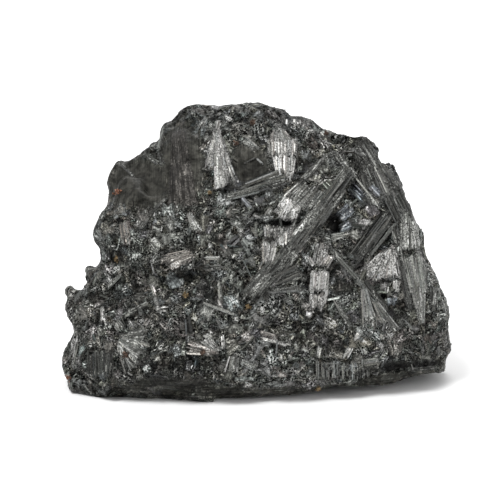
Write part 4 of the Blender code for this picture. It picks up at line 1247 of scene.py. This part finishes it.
def loose_grains(mesh, chance):
    """Middles, sizes and colours of loose-looking bits between the crystals."""
    places, normals = points_of(mesh)
    u, v, front = face_place(places)
    smooth = np.maximum(skin_share(u, v) * front, outline_share(places))
    chosen = chance.permutation(np.flatnonzero((smooth < 0.3) & (places[:, 2] > 1.0)))[:GRAIN_COUNT]
    count = len(chosen)
    middles = places[chosen] + normals[chosen] * chance.uniform(-0.1, 0.1, (count, 1))
    sizes = chance.uniform(*GRAIN_SIZE, count)
    tones = chance.lognormal(math.log(GRAIN_TONE), 0.7, (count, 1))
    return middles, sizes, np.clip(tones, 0.01, 0.5) * TINTS["gray"]


def speck_grains(speck, surface, chance):
    """Middles, sizes and colours of the grains of one coloured speck."""
    (u, v), radius, colour = speck
    aside, above = chance.normal(size=(2, SPECK_GRAINS)) * radius * 0.45
    middles = face_point(surface, u + aside, v + above)
    middles = middles - INTO_FACE * chance.uniform(0.3, 0.9, (SPECK_GRAINS, 1))
    sizes = chance.uniform(*SPECK_SIZE, SPECK_GRAINS)
    return middles, sizes, np.array(colour) * chance.lognormal(0.0, 0.3, (SPECK_GRAINS, 1))


def add_grains(mesh, surface, material, chance):
    """Small eight-sided grains: loose-looking bits, and coloured specks."""
    heaps = [loose_grains(mesh, chance)]
    heaps += [speck_grains(speck, surface, chance) for speck in SPECKS]
    middles, sizes, colours = (np.concatenate(values) for values in zip(*heaps))
    count = len(middles)
    first = unit(chance.normal(size=(count, 3)))
    second = unit(np.cross(first, chance.normal(size=(count, 3))))
    third = np.cross(first, second)
    arms = np.stack([first, second, third, -first, -second, -third], axis=1)
    reach = sizes[:, None] * chance.uniform(0.6, 1.5, (count, 6))
    corners = middles[:, None, :] + arms * reach[..., None]
    corners[..., 2] = np.maximum(corners[..., 2], LOWEST_CORNER)
    sides = np.array([
        (0, 1, 2), (1, 3, 2), (3, 4, 2), (4, 0, 2), (1, 0, 5), (3, 1, 5), (4, 3, 5), (0, 4, 5),
    ])
    faces = (sides[None] + np.arange(count)[:, None, None] * 6).reshape(-1, 3)
    tints = np.column_stack([colours, np.full(count, 0.4)])
    mesh = tinted_mesh("grains", corners.reshape(-1, 3), faces, np.repeat(tints, 6, axis=0))
    add_piece("grains", mesh, material)


def add_node(tree, kind, inputs=(), **settings):
    """A shader node with its settings, and its inputs set or linked."""
    made = tree.nodes.new(kind)
    for setting, value in settings.items():
        setattr(made, setting, value)
    for socket, value in dict(inputs).items():
        if isinstance(value, bpy.types.NodeSocket):
            tree.links.new(value, made.inputs[socket])
        else:
            made.inputs[socket].default_value = value
    return made


def combine(tree, operation, first, second):
    """Two numbers combined."""
    made = add_node(tree, "ShaderNodeMath", {0: first, 1: second}, operation=operation)
    return made.outputs["Value"]


def combine_vectors(tree, operation, first, second):
    """Two vectors combined."""
    made = add_node(tree, "ShaderNodeVectorMath", {0: first, 1: second}, operation=operation)
    return made.outputs["Vector"]


def mix(tree, share, first, second):
    """From the first number to the second, by a share."""
    return add_node(tree, "ShaderNodeMix", {
        "Factor": share, "A": first, "B": second,
    }).outputs["Result"]


def rescale(tree, value, before, after):
    """A value moved from one range to another, and kept within it."""
    return add_node(tree, "ShaderNodeMapRange", {
        "Value": value, "From Min": before[0], "From Max": before[1],
        "To Min": after[0], "To Max": after[1],
    }).outputs["Result"]


def noise_node(tree, place, scale, detail, roughness):
    """Noise at a place, 0 to 1."""
    return add_node(tree, "ShaderNodeTexNoise", {
        "Vector": place, "Scale": scale, "Detail": detail, "Roughness": roughness,
    }).outputs["Fac"]


def attribute(tree, name):
    """The node of a mesh's own attribute."""
    return add_node(tree, "ShaderNodeAttribute", attribute_name=name)


def ore(name, metallic, specular):
    """A submetallic material, its nodes, and a place on it."""
    material = bpy.data.materials.new(name)
    material.use_nodes = True
    tree = material.node_tree
    shader = tree.nodes["Principled BSDF"]
    shader.inputs["Metallic"].default_value = metallic
    shader.inputs["Specular IOR Level"].default_value = specular
    return material, tree, add_node(tree, "ShaderNodeTexCoord").outputs["Object"]


def finish_ore(tree, shade, normal):
    """Link the tint's colour, shaded but never too bright, its roughness, and the normal."""
    shader = tree.nodes["Principled BSDF"]
    tint = attribute(tree, TINT)
    colour = combine_vectors(tree, "MULTIPLY", tint.outputs["Color"], shade)
    tree.links.new(combine_vectors(tree, "MINIMUM", colour, BRIGHTEST), shader.inputs["Base Color"])
    tree.links.new(tint.outputs["Alpha"], shader.inputs["Roughness"])
    tree.links.new(normal, shader.inputs["Normal"])


def crystal_material():
    """Crystals striated along their length."""
    material, tree, place = ore("ore_crystal", metallic=0.7, specular=0.25)
    cloud = noise_node(tree, place, scale=2400.0, detail=3.0, roughness=0.6)
    fibre = add_node(tree, "ShaderNodeUVMap", uv_map=FIBRE_MAP).outputs["UV"]
    stretched = combine_vectors(tree, "MULTIPLY", fibre, (0.35, 9.0, 1.0))
    lines = noise_node(tree, stretched, scale=1.0, detail=3.0, roughness=0.5)
    bump = add_node(tree, "ShaderNodeBump", {"Height": lines, "Strength": 0.4, "Distance": 0.00008})
    finish_ore(tree, rescale(tree, cloud, (0.3, 0.7), (0.3, 1.7)), bump.outputs["Normal"])
    return material


def grain_material():
    """Grains with a lumpy surface."""
    material, tree, place = ore("ore_grain", metallic=0.7, specular=0.25)
    cloud = noise_node(tree, place, scale=300.0, detail=3.0, roughness=0.6)
    bump = add_node(tree, "ShaderNodeBump", {"Height": cloud, "Strength": 0.4, "Distance": 0.0003})
    finish_ore(tree, rescale(tree, cloud, (0.3, 0.7), (0.8, 1.2)), bump.outputs["Normal"])
    return material


def ground_material():
    """Broken ore: blades striated along their fibres, and smooth skins only faintly."""
    material, tree, place = ore("ore_ground", metallic=0.45, specular=0.08)
    broken = attribute(tree, BROKEN).outputs["Fac"]
    fibres = attribute(tree, FIBRES).outputs["Vector"]

    # fine straight lines along the fibres
    stretched = combine_vectors(tree, "MULTIPLY", fibres, (0.10, 2.1, 1.0))
    lines = noise_node(tree, stretched, scale=1.0, detail=2.5, roughness=0.65)
    streak = rescale(tree, lines, (0.40, 0.59), (0.05, 2.1))
    # short splinters, each with a tone and a lie of its own; the brightest few are painted glints
    shortened = combine_vectors(tree, "MULTIPLY", fibres, (0.50, 1.9, 1.0))
    cells = add_node(tree, "ShaderNodeTexVoronoi", {"Vector": shortened, "Scale": 1.0})
    splinters = cells.outputs["Color"]
    chance = add_node(tree, "ShaderNodeSeparateColor", {"Color": splinters}).outputs["Red"]
    spark = rescale(tree, combine(tree, "POWER", chance, 3.0), (0.0, 1.0), (0.55, 2.8))
    # fine grain where it is broken
    grit = noise_node(tree, place, scale=2300.0, detail=1.0, roughness=0.6)
    grain = rescale(tree, grit, (0.43, 0.57), (0.0, 2.15))
    rugged = combine(tree, "MULTIPLY", combine(tree, "MULTIPLY", spark, streak), grain)
    # mottled skins with faint lines
    cloud = noise_node(tree, place, scale=500.0, detail=8.0, roughness=0.65)
    faint = rescale(tree, lines, (0.36, 0.64), (0.70, 1.30))
    mottle = rescale(tree, cloud, (0.38, 0.62), (0.45, 1.50))
    skin = combine(tree, "MULTIPLY", faint, mottle)

    height = mix(tree, broken, cloud, lines)
    bump = add_node(tree, "ShaderNodeBump", {"Height": height, "Strength": 1.0, "Distance": 0.0004})
    centred = combine_vectors(tree, "SUBTRACT", splinters, (0.5, 0.5, 0.5))
    tilt = combine_vectors(tree, "MULTIPLY", centred, combine(tree, "MULTIPLY", broken, 0.7))
    leaning = combine_vectors(tree, "ADD", bump.outputs["Normal"], tilt)
    normal = add_node(tree, "ShaderNodeVectorMath", {0: leaning}, operation="NORMALIZE")
    finish_ore(tree, mix(tree, broken, skin, rugged), normal.outputs["Vector"])
    return material


def dress_stone():
    """The ground of the stone, and all the crystals on it."""
    chance = np.random.default_rng(SEED)
    mesh = base_mesh()
    surface = surface_of(mesh)
    named = [Bundle(*row) for row in FACE_BUNDLES.values()] + comb_teeth() + curled_fibres()
    named_rows = np.concatenate([face_bundle_rows(bundle, surface, chance) for bundle in named])
    outer_rows = side_rows(mesh, surface, chance)
    flakes = flake_rows(mesh, chance)
    ground = shape_ground(mesh, np.concatenate([flakes, outer_rows, named_rows]), chance)
    surface = surface_of(mesh)
    add_ground(mesh, ground, ground_material())

    crystal = crystal_material()
    for name, rows in (("face_bundles", named_rows), ("side_bundles", outer_rows)):
        raised = rows[rows["lift"] > RAISED]
        raised["lift"] = LATH_LIFT
        add_laths(name, laths_of(raised, FOUR_STATIONS, surface, chance), crystal)
    rows = seeded_rows(mesh, ground.covered, chance)
    short = rows["length"] < SHORT
    add_laths("crystals", laths_of(rows[short], TWO_STATIONS, surface, chance), crystal)
    add_laths("blades", laths_of(rows[~short], FOUR_STATIONS, surface, chance), crystal)
    add_grains(mesh, surface, grain_material(), chance)


def add_camera():
    """A far camera that looks straight at the broad face."""
    data = bpy.data.cameras.new("camera")
    data.lens = LENS
    data.sensor_width = SENSOR
    data.clip_start = 0.01
    data.clip_end = 20.0
    camera = bpy.data.objects.new("camera", data)
    bpy.context.scene.collection.objects.link(camera)
    distance = VIEW_WIDTH * LENS / SENSOR
    centre = on_face_plane(*VIEW_CENTRE)
    camera.location = Vector((centre - INTO_FACE * distance) * MM)
    camera.rotation_euler = (math.radians(90.0) - FACE_LEAN, 0.0, 0.0)
    bpy.context.scene.camera = camera


def add_softbox(name, place, size, power):
    """A square area light aimed at the stone."""
    data = bpy.data.lights.new(name, "AREA")
    data.size = size
    data.energy = power
    light = bpy.data.objects.new(name, data)
    bpy.context.scene.collection.objects.link(light)
    light.location = place
    light.rotation_euler = (LIGHT_AIM - Vector(place)).to_track_quat("-Z", "Y").to_euler()


def add_floor():
    """A pale floor."""
    mesh = bpy.data.meshes.new("floor")
    corners = [(-1, -1), (1, -1), (1, 1), (-1, 1)]
    points = [(x * FLOOR_REACH, y * FLOOR_REACH, 0.0) for x, y in corners]
    mesh.from_pydata(points, [], [(0, 1, 2, 3)])
    floor = bpy.data.objects.new("floor", mesh)
    bpy.context.scene.collection.objects.link(floor)
    paper = bpy.data.materials.new("paper")
    paper.use_nodes = True
    shader = paper.node_tree.nodes["Principled BSDF"]
    shader.inputs["Base Color"].default_value = PAPER
    shader.inputs["Roughness"].default_value = 0.9
    mesh.materials.append(paper)


def add_studio():
    """The floor, a white surround and soft lights."""
    bpy.context.scene.view_settings.view_transform = "Standard"
    world = bpy.data.worlds.new("studio")
    world.use_nodes = True
    background = world.node_tree.nodes["Background"]
    background.inputs["Color"].default_value = (1.0, 1.0, 1.0, 1.0)
    background.inputs["Strength"].default_value = SURROUND
    bpy.context.scene.world = world
    add_floor()
    for name, (place, size, power) in SOFTBOXES.items():
        add_softbox(name, place, size, power)


add_camera()
add_studio()
dress_stone()
